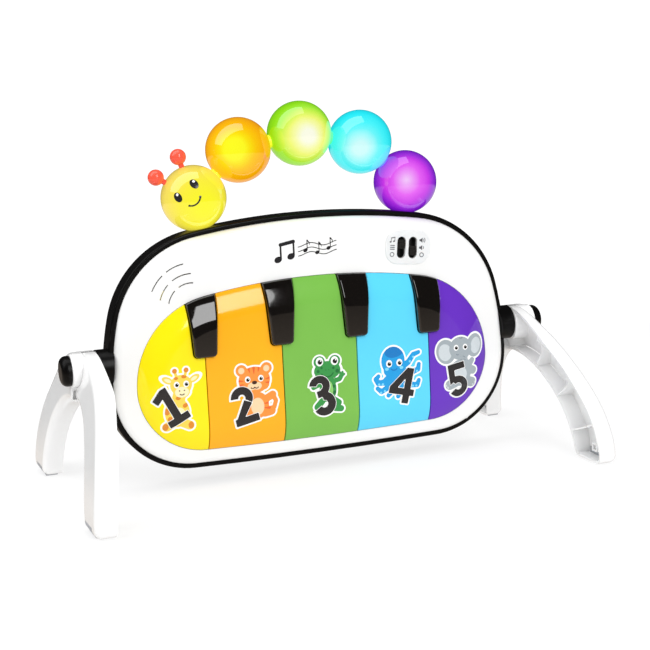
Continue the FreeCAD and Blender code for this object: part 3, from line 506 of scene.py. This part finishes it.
def slot_materials():
    """A material for each material slot of the record."""
    made = ball_materials()
    made["white_plastic"] = gloss_plastic("white_plastic", linear(246, 246, 245), 0.14, drift=0.008)
    made["leg_plastic"] = gloss_plastic("leg_plastic", linear(249, 249, 249), 0.2, drift=0.01, peel=0.000015)
    made["black_shell"] = shell_plastic("black_shell")
    made["black_key_plastic"] = gloss_plastic("black_key_plastic", linear(15, 12, 10), 0.05, 0.03, drift=0.2,
                                             coat=1.0)
    made["key_yellow"] = gloss_plastic("key_yellow", linear(255, 232, 8), 0.1)
    made["key_orange"] = gloss_plastic("key_orange", linear(255, 178, 20), 0.1)
    made["key_green"] = gloss_plastic("key_green", linear(122, 188, 78), 0.1)
    made["key_blue"] = gloss_plastic("key_blue", linear(92, 214, 250), 0.1)
    made["key_purple"] = gloss_plastic("key_purple", linear(104, 50, 192), 0.1)
    made["antenna_red"] = gloss_plastic("antenna_red", linear(250, 92, 70), 0.1, peel=0.000002)
    made["knob_black"] = satin_plastic("knob_black", linear(26, 25, 25), 0.3)
    made["inner_plastic"] = satin_plastic("inner_plastic", linear(186, 188, 190))
    made["component_plastic"] = satin_plastic("component_plastic", linear(30, 30, 32), 0.45)
    made["circuit_board"] = circuit_board("circuit_board")
    made["speaker_paper"] = speaker_paper("speaker_paper")
    made["battery_jacket"] = battery_jacket("battery_jacket")
    made["clear_tube"] = light_tube("clear_tube")
    made["dome_rubber"] = rubber("dome_rubber", linear(190, 190, 190))
    made["pad_rubber"] = rubber("pad_rubber", linear(176, 178, 182))
    made["steel"] = brushed_steel("steel")
    return made


def paint_nodes(materials):
    """Each CAD node gets the material of its record slot; the switch plate is milky."""
    for node in nodes.values():
        for place in node.material_slots:
            name = place.material.name.split(".")[0]
            place.material = materials[name]
    plate = milky_plastic("plate_plastic", linear(250, 250, 250), 0.002)
    nodes["switch_plate"].material_slots[0].material = plate


# ---------------------------------------------------------------- flat drawings
# A drawing is a function of X and Z arrays in millimetres that is below 0 inside and gives about the
# distance to the edge.

def disc(x, z, radius, tall=None, turn=0.0):
    """A circle, or an ellipse with its own height, turned counterclockwise."""
    tall = tall or radius
    cosine, sine = math.cos(math.radians(turn)), math.sin(math.radians(turn))

    def shape(px, pz):
        across = (px - x) * cosine + (pz - z) * sine
        along = (pz - z) * cosine - (px - x) * sine
        return (np.hypot(across / radius, along / tall) - 1) * min(radius, tall)
    return shape


def line(points, radius, taper=0.0):
    """A round-ended stroke through points; it thins by taper of its radius towards its end."""
    def shape(px, pz):
        found = np.full(px.shape, 1e9)
        count = len(points) - 1
        for index in range(count):
            (ax, az), (bx, bz) = points[index], points[index + 1]
            length = (bx - ax) ** 2 + (bz - az) ** 2
            share = np.clip(((px - ax) * (bx - ax) + (pz - az) * (bz - az)) / length, 0, 1)
            away = np.hypot(px - ax - share * (bx - ax), pz - az - share * (bz - az))
            found = np.minimum(found, away - radius * (1 - taper * (index + share) / count))
        return found
    return shape


def polygon(*corners):
    """A closed outline of straight sides."""
    def shape(px, pz):
        nearest = np.full(px.shape, 1e9)
        inside = np.zeros(px.shape, bool)
        for index, (ax, az) in enumerate(corners):
            bx, bz = corners[(index + 1) % len(corners)]
            length = (bx - ax) ** 2 + (bz - az) ** 2
            share = np.clip(((px - ax) * (bx - ax) + (pz - az) * (bz - az)) / length, 0, 1)
            nearest = np.minimum(nearest, np.hypot(px - ax - share * (bx - ax), pz - az - share * (bz - az)))
            crosses = (az > pz) != (bz > pz)
            rise = np.where(bz == az, 1e-9, bz - az)
            inside ^= crosses & (px < (bx - ax) * (pz - az) / rise + ax)
        return np.where(inside, -nearest, nearest)
    return shape


def band(x, z, radius, start, end, half):
    """A stretch of a ring with square ends, from start to end degrees counterclockwise."""
    middle, reach = math.radians((start + end) / 2), math.radians((end - start) / 2)

    def shape(px, pz):
        away = np.hypot(px - x, pz - z)
        off = np.abs((np.arctan2(pz - z, px - x) - middle + math.pi) % (2 * math.pi) - math.pi) - reach
        return np.maximum(np.abs(away - radius) - half, np.sin(np.clip(off, -1.5, 1.5)) * away)
    return shape


def ring(x, z, radius, half):
    """A circular line."""
    def shape(px, pz):
        return np.abs(np.hypot(px - x, pz - z) - radius) - half
    return shape


def together(*shapes):
    """All the shapes as one."""
    def shape(px, pz):
        return np.minimum.reduce([each(px, pz) for each in shapes])
    return shape


def common(*shapes):
    """Where all the shapes overlap."""
    def shape(px, pz):
        return np.maximum.reduce([each(px, pz) for each in shapes])
    return shape


def grown(source, distance):
    """The shape made larger all round."""
    def shape(px, pz):
        return source(px, pz) - distance
    return shape


def placed(source, x, z, turn=0.0, scale=1.0):
    """The shape moved to a place, turned counterclockwise and scaled."""
    cosine, sine = math.cos(math.radians(turn)), math.sin(math.radians(turn))

    def shape(px, pz):
        dx, dz = (px - x) / scale, (pz - z) / scale
        return source(dx * cosine + dz * sine, dz * cosine - dx * sine) * scale
    return shape


# ---------------------------------------------------------------- drawings to thin solids

CELL = 0.75              # size of a drawing's mesh, mm
STICKER_BASE = 0.03      # gap between the key and the sticker's foil, mm
STICKER_FOIL = 0.17      # top of the foil above the key
INK_STEP = 0.03          # each printed layer stands this much above the one before


def cut_out(shape, low, high, cell):
    """Points and faces that cover the inside of a shape, cut where it crosses the mesh of cells."""
    xs = np.arange(low[0], high[0] + cell, cell)
    zs = np.arange(low[1], high[1] + cell, cell)
    value = shape(*np.meshgrid(xs, zs, indexing="ij"))
    points, known, faces = [], {}, []

    def corner_point(corner):
        if corner not in known:
            known[corner] = len(points)
            points.append((xs[corner[0]], zs[corner[1]]))
        return known[corner]

    def edge_point(first, second):
        key = (min(first, second), max(first, second))
        if key not in known:
            (ai, aj), (bi, bj) = key
            share = value[ai, aj] / (value[ai, aj] - value[bi, bj])
            known[key] = len(points)
            points.append((xs[ai] + share * (xs[bi] - xs[ai]), zs[aj] + share * (zs[bj] - zs[aj])))
        return known[key]

    inside = value < 0
    busy = inside[:-1, :-1] | inside[1:, :-1] | inside[1:, 1:] | inside[:-1, 1:]
    for i, j in zip(*(part.tolist() for part in np.nonzero(busy))):
        corners = ((i, j), (i + 1, j), (i + 1, j + 1), (i, j + 1))
        loop = []
        for corner, following in zip(corners, corners[1:] + corners[:1]):
            if inside[corner]:
                loop.append(corner_point(corner))
            if inside[corner] != inside[following]:
                loop.append(edge_point(corner, following))
        faces.append(loop)
    return points, faces


def add_layer(mesh_data, shape, low, high, cell, lay, under, over, colour):
    """One thin closed layer: its front and back lie on the surface that lay(x, z, height) gives."""
    vertices, polygons, colours = mesh_data
    points, faces = cut_out(shape, low, high, cell)
    first = len(vertices)
    count = len(points)
    vertices.extend(lay(x, z, over) for x, z in points)
    vertices.extend(lay(x, z, under) for x, z in points)
    seen = set()
    for face in faces:
        polygons.append([first + k for k in face])
        polygons.append([first + count + k for k in reversed(face)])
        seen.update(zip(face, face[1:] + face[:1]))
    rims = [(a, b) for a, b in seen if (b, a) not in seen]
    for a, b in sorted(rims):
        polygons.append([first + b, first + a, first + count + a, first + count + b])
    colours.extend([colour] * (2 * len(faces) + len(rims)))


def add_print(name, layers, low, high, lay, body, slot, cell=CELL, base=STICKER_BASE, foil=STICKER_FOIL):
    """A drawing of several layers, from the foil up, as one piece that rides on a body."""
    mesh_data = ([], [], [])
    palette = []
    for level, (shape, colour) in enumerate(layers):
        if colour not in palette:
            palette.append(colour)
        over = foil + level * INK_STEP
        under = base if level == 0 else over - INK_STEP * 0.8
        add_layer(mesh_data, shape, low, high, cell, lay, under, over, palette.index(colour))
    vertices, polygons, colours = mesh_data
    mesh = bpy.data.meshes.new(name)
    mesh.from_pydata(vertices, [], polygons)
    for colour in palette:
        mesh.materials.append(ink(colour))
    mesh.polygons.foreach_set("material_index", colours)
    mesh.update()
    piece = bpy.data.objects.new(name, mesh)
    bpy.context.scene.collection.objects.link(piece)
    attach(piece, body)


def on_front_of(node):
    """A lay function that puts a drawing on the front of a CAD node, along Y."""
    mesh = nodes[node].data
    tree = BVHTree.FromPolygons([v.co[:] for v in mesh.vertices], [p.vertices[:] for p in mesh.polygons])
    forward = Vector((0, 1, 0))
    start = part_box(node)[0].y - 0.02
    known = {}

    def lay(x, z, height):
        key = (round(x, 4), round(z, 4))
        if key not in known:
            known[key] = tree.ray_cast(Vector((x * MM, start, z * MM)), forward)[0].y
        return (x * MM, known[key] - height * MM, z * MM)
    return lay


def on_ball(centre, radius, facing, upward):
    """A lay function that wraps a drawing round a ball, about the direction that it faces."""
    side = upward.cross(facing).normalized()
    upward = facing.cross(side).normalized()

    def lay(x, z, height):
        direction = (facing * radius + (side * x + upward * z) * MM).normalized()
        return centre + direction * (radius + height * MM)
    return lay


# ---------------------------------------------------------------- stickers

INK_COLOURS = {
    "white": (252, 252, 250), "charcoal": (38, 37, 40), "black": (16, 15, 16), "grey": (96, 96, 100),
    "cream": (255, 240, 190), "sand": (252, 216, 84), "rust": (226, 140, 44),
    "tan": (250, 148, 60), "brick": (236, 100, 44), "peach": (255, 214, 170), "brown": (70, 40, 28),
    "leaf": (52, 150, 72), "moss": (24, 112, 54), "lime": (140, 205, 110),
    "sea": (16, 158, 226), "deep": (6, 122, 196), "foam": (120, 214, 250),
    "stone": (164, 174, 180), "mist": (206, 214, 218), "slate": (126, 136, 144),
}
ink_materials = {}


def ink(colour):
    """Printed vinyl in one colour: screen-print grain under a thin gloss laminate."""
    if colour not in ink_materials:
        tone = linear(*INK_COLOURS[colour])
        maker = Maker("ink_" + colour, Coat_Weight=0.4, Coat_Roughness=0.06)
        grain = maker.noise(900, 4, 0.6)
        maker.feed("Base Color", maker.ramp(grain, (0.3, shaded(tone, 0.95)), (0.7, shaded(tone, 1.04))))
        maker.feed("Roughness", maker.span(maker.noise(70, 4), 0.16, 0.26))
        maker.feed("Normal", maker.bump(grain, 0.000008))
        ink_materials[colour] = maker.material
    return ink_materials[colour]


STROKE = 3.7             # half width of a numeral's strokes, mm, in a numeral about 36 mm tall


def numeral(digit):
    """A bold plain numeral about its middle, 36 mm tall."""
    drawn = {
        1: (polygon((-2.2, -14), (5.2, -14), (5.2, 18), (-0.6, 18), (-11, 12.2), (-8.4, 6.4), (-2.2, 9.6)),
            polygon((-9, -18), (12, -18), (12, -11.4), (-9, -11.4))),
        2: (band(0, 7.6, 7.2, -36, 172, STROKE),
            polygon((1.6, 5.2), (8.6, 0.6), (-3.6, -13.2), (-11, -13.2)),
            polygon((-11.6, -18), (12, -18), (12, -10.8), (-11.6, -10.8))),
        3: (band(-0.6, 8.4, 6.4, -84, 160, STROKE * 0.92), band(-0.6, -8.2, 7.2, -160, 88, STROKE),
            polygon((-4.6, -1.6), (1.4, -1.6), (1.4, 4.6), (-4.6, 4.6))),
        4: (polygon((2.6, -18), (9.8, -18), (9.8, 18), (2.6, 18)),
            polygon((-13, -9.8), (14, -9.8), (14, -3.2), (-13, -3.2)),
            polygon((-13, -3.2), (-4.4, -3.2), (9.8, 18), (2.6, 18))),
        5: (band(-0.8, -6.8, 7.6, -152, 132, STROKE),
            polygon((-8.6, 11), (10.4, 11), (10.4, 18), (-8.6, 18)),
            polygon((-9.6, -3.4), (-2.6, 0.4), (-1.6, 18), (-8.6, 18))),
    }
    return together(*drawn[digit])


def eye(x, z, size):
    """White, pupil and glint of an eye."""
    return ((disc(x, z, size, size * 1.15), "white"),
            (disc(x + 0.1 * size, z - 0.1 * size, size * 0.62), "black"),
            (disc(x + 0.32 * size, z + 0.2 * size, size * 0.2), "white"))


def giraffe():
    """A young giraffe that sits. Like the other animals, it is an outline and the drawing's layers."""
    body = together(disc(1, -12, 11.5, 13.5), line(((1, -6), (5, 8)), 6.2), line(((-4, -22), (-9, -25)), 4.2),
                    line(((6, -22), (12, -25)), 4.2))
    head = together(disc(6, 13, 10.2, 9.4), disc(6.4, 6.8, 7.6, 6.2))
    ears = together(disc(-6.4, 18.4, 5.6, 3.0, -28), disc(18.6, 18.0, 5.6, 3.0, 28))
    horns = together(line(((2.2, 20), (0.8, 26)), 1.3), line(((9.8, 20), (11.4, 26)), 1.3))
    tips = together(disc(0.7, 26.4, 2.3), disc(11.5, 26.4, 2.3))
    spots = common(together(body, head), together(
        disc(8.8, -6.2, 2.6, 2.0, 30), disc(9.6, -14.4, 2.8, 2.2), disc(-5.8, -17.6, 2.4),
        disc(-8.6, -10.4, 2.6, 3.2), disc(2.6, 1.2, 2.4, 1.8), disc(9.2, 20.6, 2.6, 1.8),
        disc(1.6, 19.6, 2.0, 1.4), disc(13.2, -25, 2.6, 3.4), disc(-10.2, -25, 2.6, 3.4)))
    layers = [(together(body, head, ears, horns), "sand"), (together(spots, tips), "rust"),
              (together(disc(2.4, -15, 6.4, 7.6), disc(6.4, 6.4, 6.6, 4.9), disc(-6.2, 18.3, 3.4, 1.6, -28),
                        disc(18.4, 17.9, 3.4, 1.6, 28)), "cream"),
              (together(disc(4.2, 7.8, 0.7), disc(8.8, 7.8, 0.7), band(6.5, 6.6, 2.8, 215, 325, 0.45)),
               "brown")]
    return together(body, head, ears, horns, tips), layers + pair_of_eyes((1.8, 13.6), (10.8, 13.6), 2.7)


def pair_of_eyes(left, right, size):
    """Two eyes, as three layers."""
    both = zip(eye(*left, size), eye(*right, size))
    return [(together(first[0], second[0]), first[1]) for first, second in both]


def cub():
    """A striped cub that sits."""
    head = together(disc(1, 10.5, 15.2, 12.6), disc(-8, 6, 5.4), disc(10, 6, 5.4))
    ears = together(disc(-11, 20.6, 5.4), disc(13.2, 20.6, 5.4))
    body = together(disc(3, -13.5, 11.0, 12.5), line(((12, -8), (18, -5)), 3.6),
                    line(((10, -21), (16, -20)), 4.2), line(((-4, -22), (-9, -24)), 4.2))
    tail = line(((12, -18), (19, -17), (21, -11), (19.4, -7.6)), 2.1)
    stripes = common(together(head, body), together(
        line(((1, 24), (1, 16)), 1.5, 0.8), line(((-4.2, 23.4), (-3, 17.6)), 1.3, 0.8),
        line(((6.2, 23.4), (5, 17.6)), 1.3, 0.8), line(((-15, 11.4), (-9.4, 10.4)), 1.3, 0.8),
        line(((-14.4, 6.6), (-9, 7.4)), 1.3, 0.8), line(((17, 11.4), (11.4, 10.4)), 1.3, 0.8),
        line(((16.4, 6.6), (11, 7.4)), 1.3, 0.8), line(((15, -12), (9.4, -12.6)), 1.3, 0.7),
        line(((14.4, -17), (9, -16.6)), 1.3, 0.7)))
    inner = together(disc(-11, 20.4, 3.0), disc(13.2, 20.4, 3.0), disc(3, -14.6, 6.4, 8.2))
    layers = [(together(head, ears, body, tail), "tan"), (stripes, "brick"),
              (together(inner, disc(-1.6, 4.8, 4.2, 3.6), disc(3.8, 4.8, 4.2, 3.6)), "peach"),
              (together(disc(1.1, 8.2, 2.5, 1.7), band(-0.8, 4.6, 1.9, 190, 350, 0.45),
                        band(3.0, 4.6, 1.9, 190, 350, 0.45)), "brown")]
    return together(head, ears, body, tail), layers + pair_of_eyes((-5.4, 11.6), (7.4, 11.6), 2.7)


def frog():
    """A frog that stands behind its numeral."""
    head = together(disc(3.4, 11.8, 13.2, 9.0), disc(-4.2, 20.6, 5.6), disc(11.2, 20.2, 5.6))
    body = together(disc(3.4, -6, 8.4, 12.4), line(((9, 1), (15.4, 2.4), (17.6, 6)), 2.3),
                    line(((8, -16), (13.6, -20), (9.6, -25), (15.6, -26)), 3.0),
                    line(((-3, 0), (-11, -3)), 2.4), line(((-3, -17), (-8, -22)), 3.2))
    fingers = together(*(disc(17.6 + 2.6 * math.cos(a), 6.2 + 2.6 * math.sin(a), 1.2)
                         for a in (0.1, 1.2, 2.2)))
    patches = common(together(head, body), together(
        disc(13.4, 10.4, 1.9), disc(9.6, 13.6, 1.3), disc(-5.8, 11.8, 1.6), disc(9.2, -4, 1.6),
        disc(10, -10, 2.0), disc(-2.2, 14.8, 1.2)))
    layers = [(together(head, body, fingers), "leaf"), (patches, "moss"),
              (disc(3.6, -7, 4.8, 9.0), "lime"),
              (together(band(3.4, 12.2, 6.6, 205, 335, 0.6), disc(1.9, 12.4, 0.55), disc(4.9, 12.4, 0.55)),
               "moss")]
    return together(head, body, fingers), layers + pair_of_eyes((-4.0, 20.8), (11.0, 20.4), 3.7)


def octopus():
    """An octopus with curled arms."""
    head = together(disc(-4, 13, 12.0, 13.6), disc(-3.6, 4, 10.4, 7.4))
    arms = together(
        line(((-8, -2), (-14, -7), (-20, -7), (-22.4, -3), (-19.6, -0.4)), 3.4, 0.4),
        line(((-6, -2), (-10, -12), (-17, -15.6), (-21, -12)), 3.4, 0.4),
        line(((-2, -2), (-4, -14), (-10, -20)), 3.4, 0.35),
        line(((1, -2), (4, -15), (0, -22)), 3.4, 0.35),
        line(((3, -2), (13, -12), (20, -13), (22, -8.6)), 3.4, 0.4),
        line(((4, 2), (15, 0), (21.6, 2), (22.6, 7)), 3.4, 0.4),
        line(((3, 5), (11.6, 10), (17, 17), (22.6, 18.6)), 3.3, 0.4))
    cups = common(arms, together(*(disc(x, z, 1.2) for x, z in (
        (-15.4, -8.6), (-19.2, -8.4), (-13.6, -15.4), (-17.6, -16.6), (15.6, -13.6), (19.2, -13.8),
        (16, -1.4), (20.4, 0.4), (13.4, 10.6), (17, 14.6), (-6.4, -18), (3.6, -18)))))
    shade = common(head, disc(-1, 24.4, 11.8, 8.0, 20))
    cheeks = together(disc(-10.6, 5.6, 2.0, 1.5), disc(4.4, 5.6, 2.0, 1.5))
    layers = [(together(head, arms), "sea"), (cups, "foam"), (shade, "deep"), (cheeks, "foam"),
              (band(-3.2, 7.4, 3.6, 205, 335, 0.6), "deep")]
    return together(head, arms), layers + pair_of_eyes((-8.2, 10.6), (2.4, 10.6), 3.1)


def elephant():
    """A young elephant that sits."""
    head = together(disc(1.4, 14, 11.8, 11.4), line(((4, 8), (5.6, 0), (10.6, -2.4), (13.6, 1.4)), 4.0, 0.35))
    ears = together(disc(-14, 12, 10.2, 12.0, 12), disc(17.0, 15.4, 9.0, 11.4, -12))
    body = together(disc(0.6, -10, 11.6, 13.0), line(((9, -6), (14.6, -9)), 4.0),
                    line(((8, -19), (13.6, -21)), 4.8), line(((-5, -19), (-11, -21)), 4.8))
    inner = together(disc(-15, 11.4, 6.8, 8.4, 12), disc(18.4, 15.2, 5.8, 8.0, -12), disc(1, -11.6, 6.6, 7.6))
    nails = together(*(disc(x, z, 1.0, 1.3)
                       for x, z in ((15.4, -23.8), (17.4, -21.6), (-13.2, -23.6), (-15, -21.2))))
    creases = together(band(2.6, 2.2, 4.2, 25, 115, 0.35), band(3.4, -0.8, 4.2, 35, 125, 0.35),
                       band(2.0, 26.2, 2.4, 215, 325, 0.4), band(-1.6, 10.4, 2.6, 215, 300, 0.4))
    layers = [(together(ears, body), "stone"), (inner, "mist"), (head, "stone"), (nails, "mist"),
              (creases, "slate")]
    return together(head, ears, body), layers + pair_of_eyes((-3.2, 15.0), (6.4, 15.0), 2.6)


# Sticker: what it shows, its middle (X, Z), the numeral's middle, turn and size, from the sticker's middle
STICKERS = (
    (giraffe, (-141.5, 86.0), (-5.6, -6.0), 27, 1.02),
    (cub, (-67.0, 85.0), (-10.4, -12.4), 12, 0.98),
    (frog, (2.6, 84.5), (-2.4, -11.0), 14, 1.05),
    (octopus, (77.0, 85.0), (4.4, -11.4), -14, 0.96),
    (elephant, (142.6, 88.4), (-2.4, -16.6), 10, 0.92),
)
STICKER_REACH = 36.0
STICKER_BORDER = 1.6     # white edge round a sticker, mm
KEY_NODES = ("key_1_yellow", "key_2_orange", "key_3_green", "key_4_blue", "key_5_purple")


def add_stickers():
    """A foil sticker with a numeral and an animal on each coloured key."""
    for index, (animal, (x, z), (dx, dz), turn, size) in enumerate(STICKERS):
        outline, layers = animal()
        digit = placed(numeral(index + 1), dx, dz, turn, size)
        border = grown(together(outline, digit), STICKER_BORDER)
        drawn = [(border, "white")] + layers + [(grown(digit, 0.5), "white"), (digit, "charcoal")]
        moved = [(placed(shape, x, z), colour) for shape, colour in drawn]
        low = (x - STICKER_REACH, z - STICKER_REACH)
        high = (x + STICKER_REACH, z + STICKER_REACH)
        slot = "key_" + KEY_NODES[index].split("_")[2]
        lay = on_front_of(KEY_NODES[index])
        add_print(f"sticker_{index + 1}", moved, low, high, lay, f"key_{index + 1}", slot)


# ---------------------------------------------------------------- printed symbols

PLATE_TURN = -5.5        # the plate leans with the bezel's upper edge, degrees
PLATE_COLUMNS = (-15.9, 14.7)    # middles of the symbols, from the middle of the plate, mm
PLATE_ROWS = (6.8, -0.3, -7.1)
PLATE_REACH = 24.0
SYMBOL_SIZE = 1.2
PRINT_CELL = 0.3
PRINT_BASE = 0.005
PRINT_TOP = 0.03


def speaker_symbol(waves):
    """A loudspeaker with that many sound waves."""
    parts = [polygon((-2.4, -0.8), (-1.4, -0.8), (0.2, -2.0), (0.2, 2.0), (-1.4, 0.8), (-2.4, 0.8))]
    parts += [band(-0.4, 0, 1.7 + 1.1 * k, -42, 42, 0.24) for k in range(waves)]
    return together(*parts)


def note_symbol():
    """A pair of joined quavers."""
    return together(disc(-1.7, -1.6, 0.85, 0.65, 20), disc(1.2, -1.1, 0.85, 0.65, 20),
                    line(((-1.05, -1.5), (-1.05, 1.5)), 0.2), line(((1.85, -1.0), (1.85, 2.0)), 0.2),
                    line(((-1.05, 1.5), (1.85, 2.0)), 0.38))


def list_symbol():
    """Three short bars."""
    return together(*(line(((-1.7, z), (1.7, z)), 0.34) for z in (-1.5, 0, 1.5)))


def add_switch_symbols():
    """Symbols beside the three places of each switch."""
    low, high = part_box("switch_plate")
    middle_x, middle_z = (low.x + high.x) / 2 / MM, (low.z + high.z) / 2 / MM
    columns = ((note_symbol(), list_symbol(), ring(0, 0, 1.6, 0.28)),
               (speaker_symbol(2), speaker_symbol(1), ring(0, 0, 1.6, 0.28)))
    shapes = []
    for column, dx in zip(columns, PLATE_COLUMNS):
        shapes += [placed(symbol, dx, dz, 0, SYMBOL_SIZE) for symbol, dz in zip(column, PLATE_ROWS)]
    drawing = placed(together(*shapes), middle_x, middle_z, PLATE_TURN)
    box = ((middle_x - PLATE_REACH, middle_z - PLATE_REACH), (middle_x + PLATE_REACH, middle_z + PLATE_REACH))
    add_print("switch_symbols", [(drawing, "grey")], *box, on_front_of("switch_plate"), "housing",
              "component_plastic", PRINT_CELL, PRINT_BASE, PRINT_TOP)


EMBLEM_X = -8.0
EMBLEM_Z = 211.0
EMBLEM_CELL = 0.4


def quaver(x, z, size):
    """One note with its flag."""
    return placed(together(disc(-1.1, -5.2, 2.6, 2.0, 22), line(((1.2, -4.8), (1.2, 6.4)), 0.5),
                           line(((1.4, 6.2), (3.8, 3.6), (4.2, 0.8)), 0.75, 0.7)), x, z, 0, size)


def add_emblem():
    """A plain row of notes between two wavy lines on the white bezel."""
    pair = placed(note_symbol(), -18.5, -0.5, 0, 4.4)
    wave = [(x, 1.6 * math.sin(x / 4.2)) for x in np.arange(-6.0, 32.1, 1.0)]
    lines = [line([(x, z + 4.2 * k) for x, z in wave], 0.4) for k in (-1, 0, 1)]
    notes = [quaver(2.0, 3.2, 0.82), quaver(13.6, 0.4, 0.82), quaver(25.0, 3.6, 0.82)]
    drawing = placed(together(pair, *lines, *notes), EMBLEM_X, EMBLEM_Z)
    low, high = (EMBLEM_X - 36, EMBLEM_Z - 15), (EMBLEM_X + 38, EMBLEM_Z + 15)
    add_print("emblem", [(drawing, "charcoal")], low, high, on_front_of("front_bezel"), "housing",
              "component_plastic", EMBLEM_CELL, PRINT_BASE, PRINT_TOP)


FACE_UP = 128.0          # degrees from the X axis to the top of the head
FACE_CELL = 0.5          # mesh of the drawing, and its underside and top above the ball, mm
FACE_BASE = 0.02
FACE_TOP = 0.08


def add_face():
    """A plain friendly face on the head ball: two eyes and a small smile."""
    low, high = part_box("light_ball_1_head")
    centre = (low + high) / 2
    radius = (high.x - low.x) / 2
    up = Vector((math.cos(math.radians(FACE_UP)), 0, math.sin(math.radians(FACE_UP))))
    lay = on_ball(centre, radius, lamp_direction(-0.06, 0.02), up)
    smile = band(0, -3.0, 9.0, 222, 318, 0.85)
    ends = together(disc(-6.7, -9.0, 1.3), disc(6.7, -9.0, 1.3))
    eyes = together(disc(-10.2, 4.6, 4.0, 5.4, 6), disc(10.2, 4.6, 4.0, 5.4, -6))
    glints = together(disc(-8.9, 6.9, 1.4), disc(11.5, 6.9, 1.4))
    layers = [(together(eyes, smile, ends), "charcoal"), (glints, "white")]
    add_print("head_face", layers, (-20, -16), (20, 16), lay, "housing", "component_plastic", FACE_CELL,
              FACE_BASE, FACE_TOP)


# ---------------------------------------------------------------- contact domes


def add_domes():
    """The rubber contact domes: copies on the housing stand in for the CAD domes, which are hidden."""
    for index in range(len(KEY_NODES)):
        node = nodes[f"key_dome_{index + 1}"]
        dome = bpy.data.objects.new(f"soft_dome_{index + 1}", node.data.copy())
        dome.matrix_world = node.matrix_world.copy()
        bpy.context.scene.collection.objects.link(dome)
        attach(dome, "housing")
        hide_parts(node.name)
        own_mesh(dome)


# ---------------------------------------------------------------- the scene

make_camera()
make_studio()
paint_nodes(slot_materials())
add_stickers()
add_switch_symbols()
add_emblem()
add_face()
add_domes()
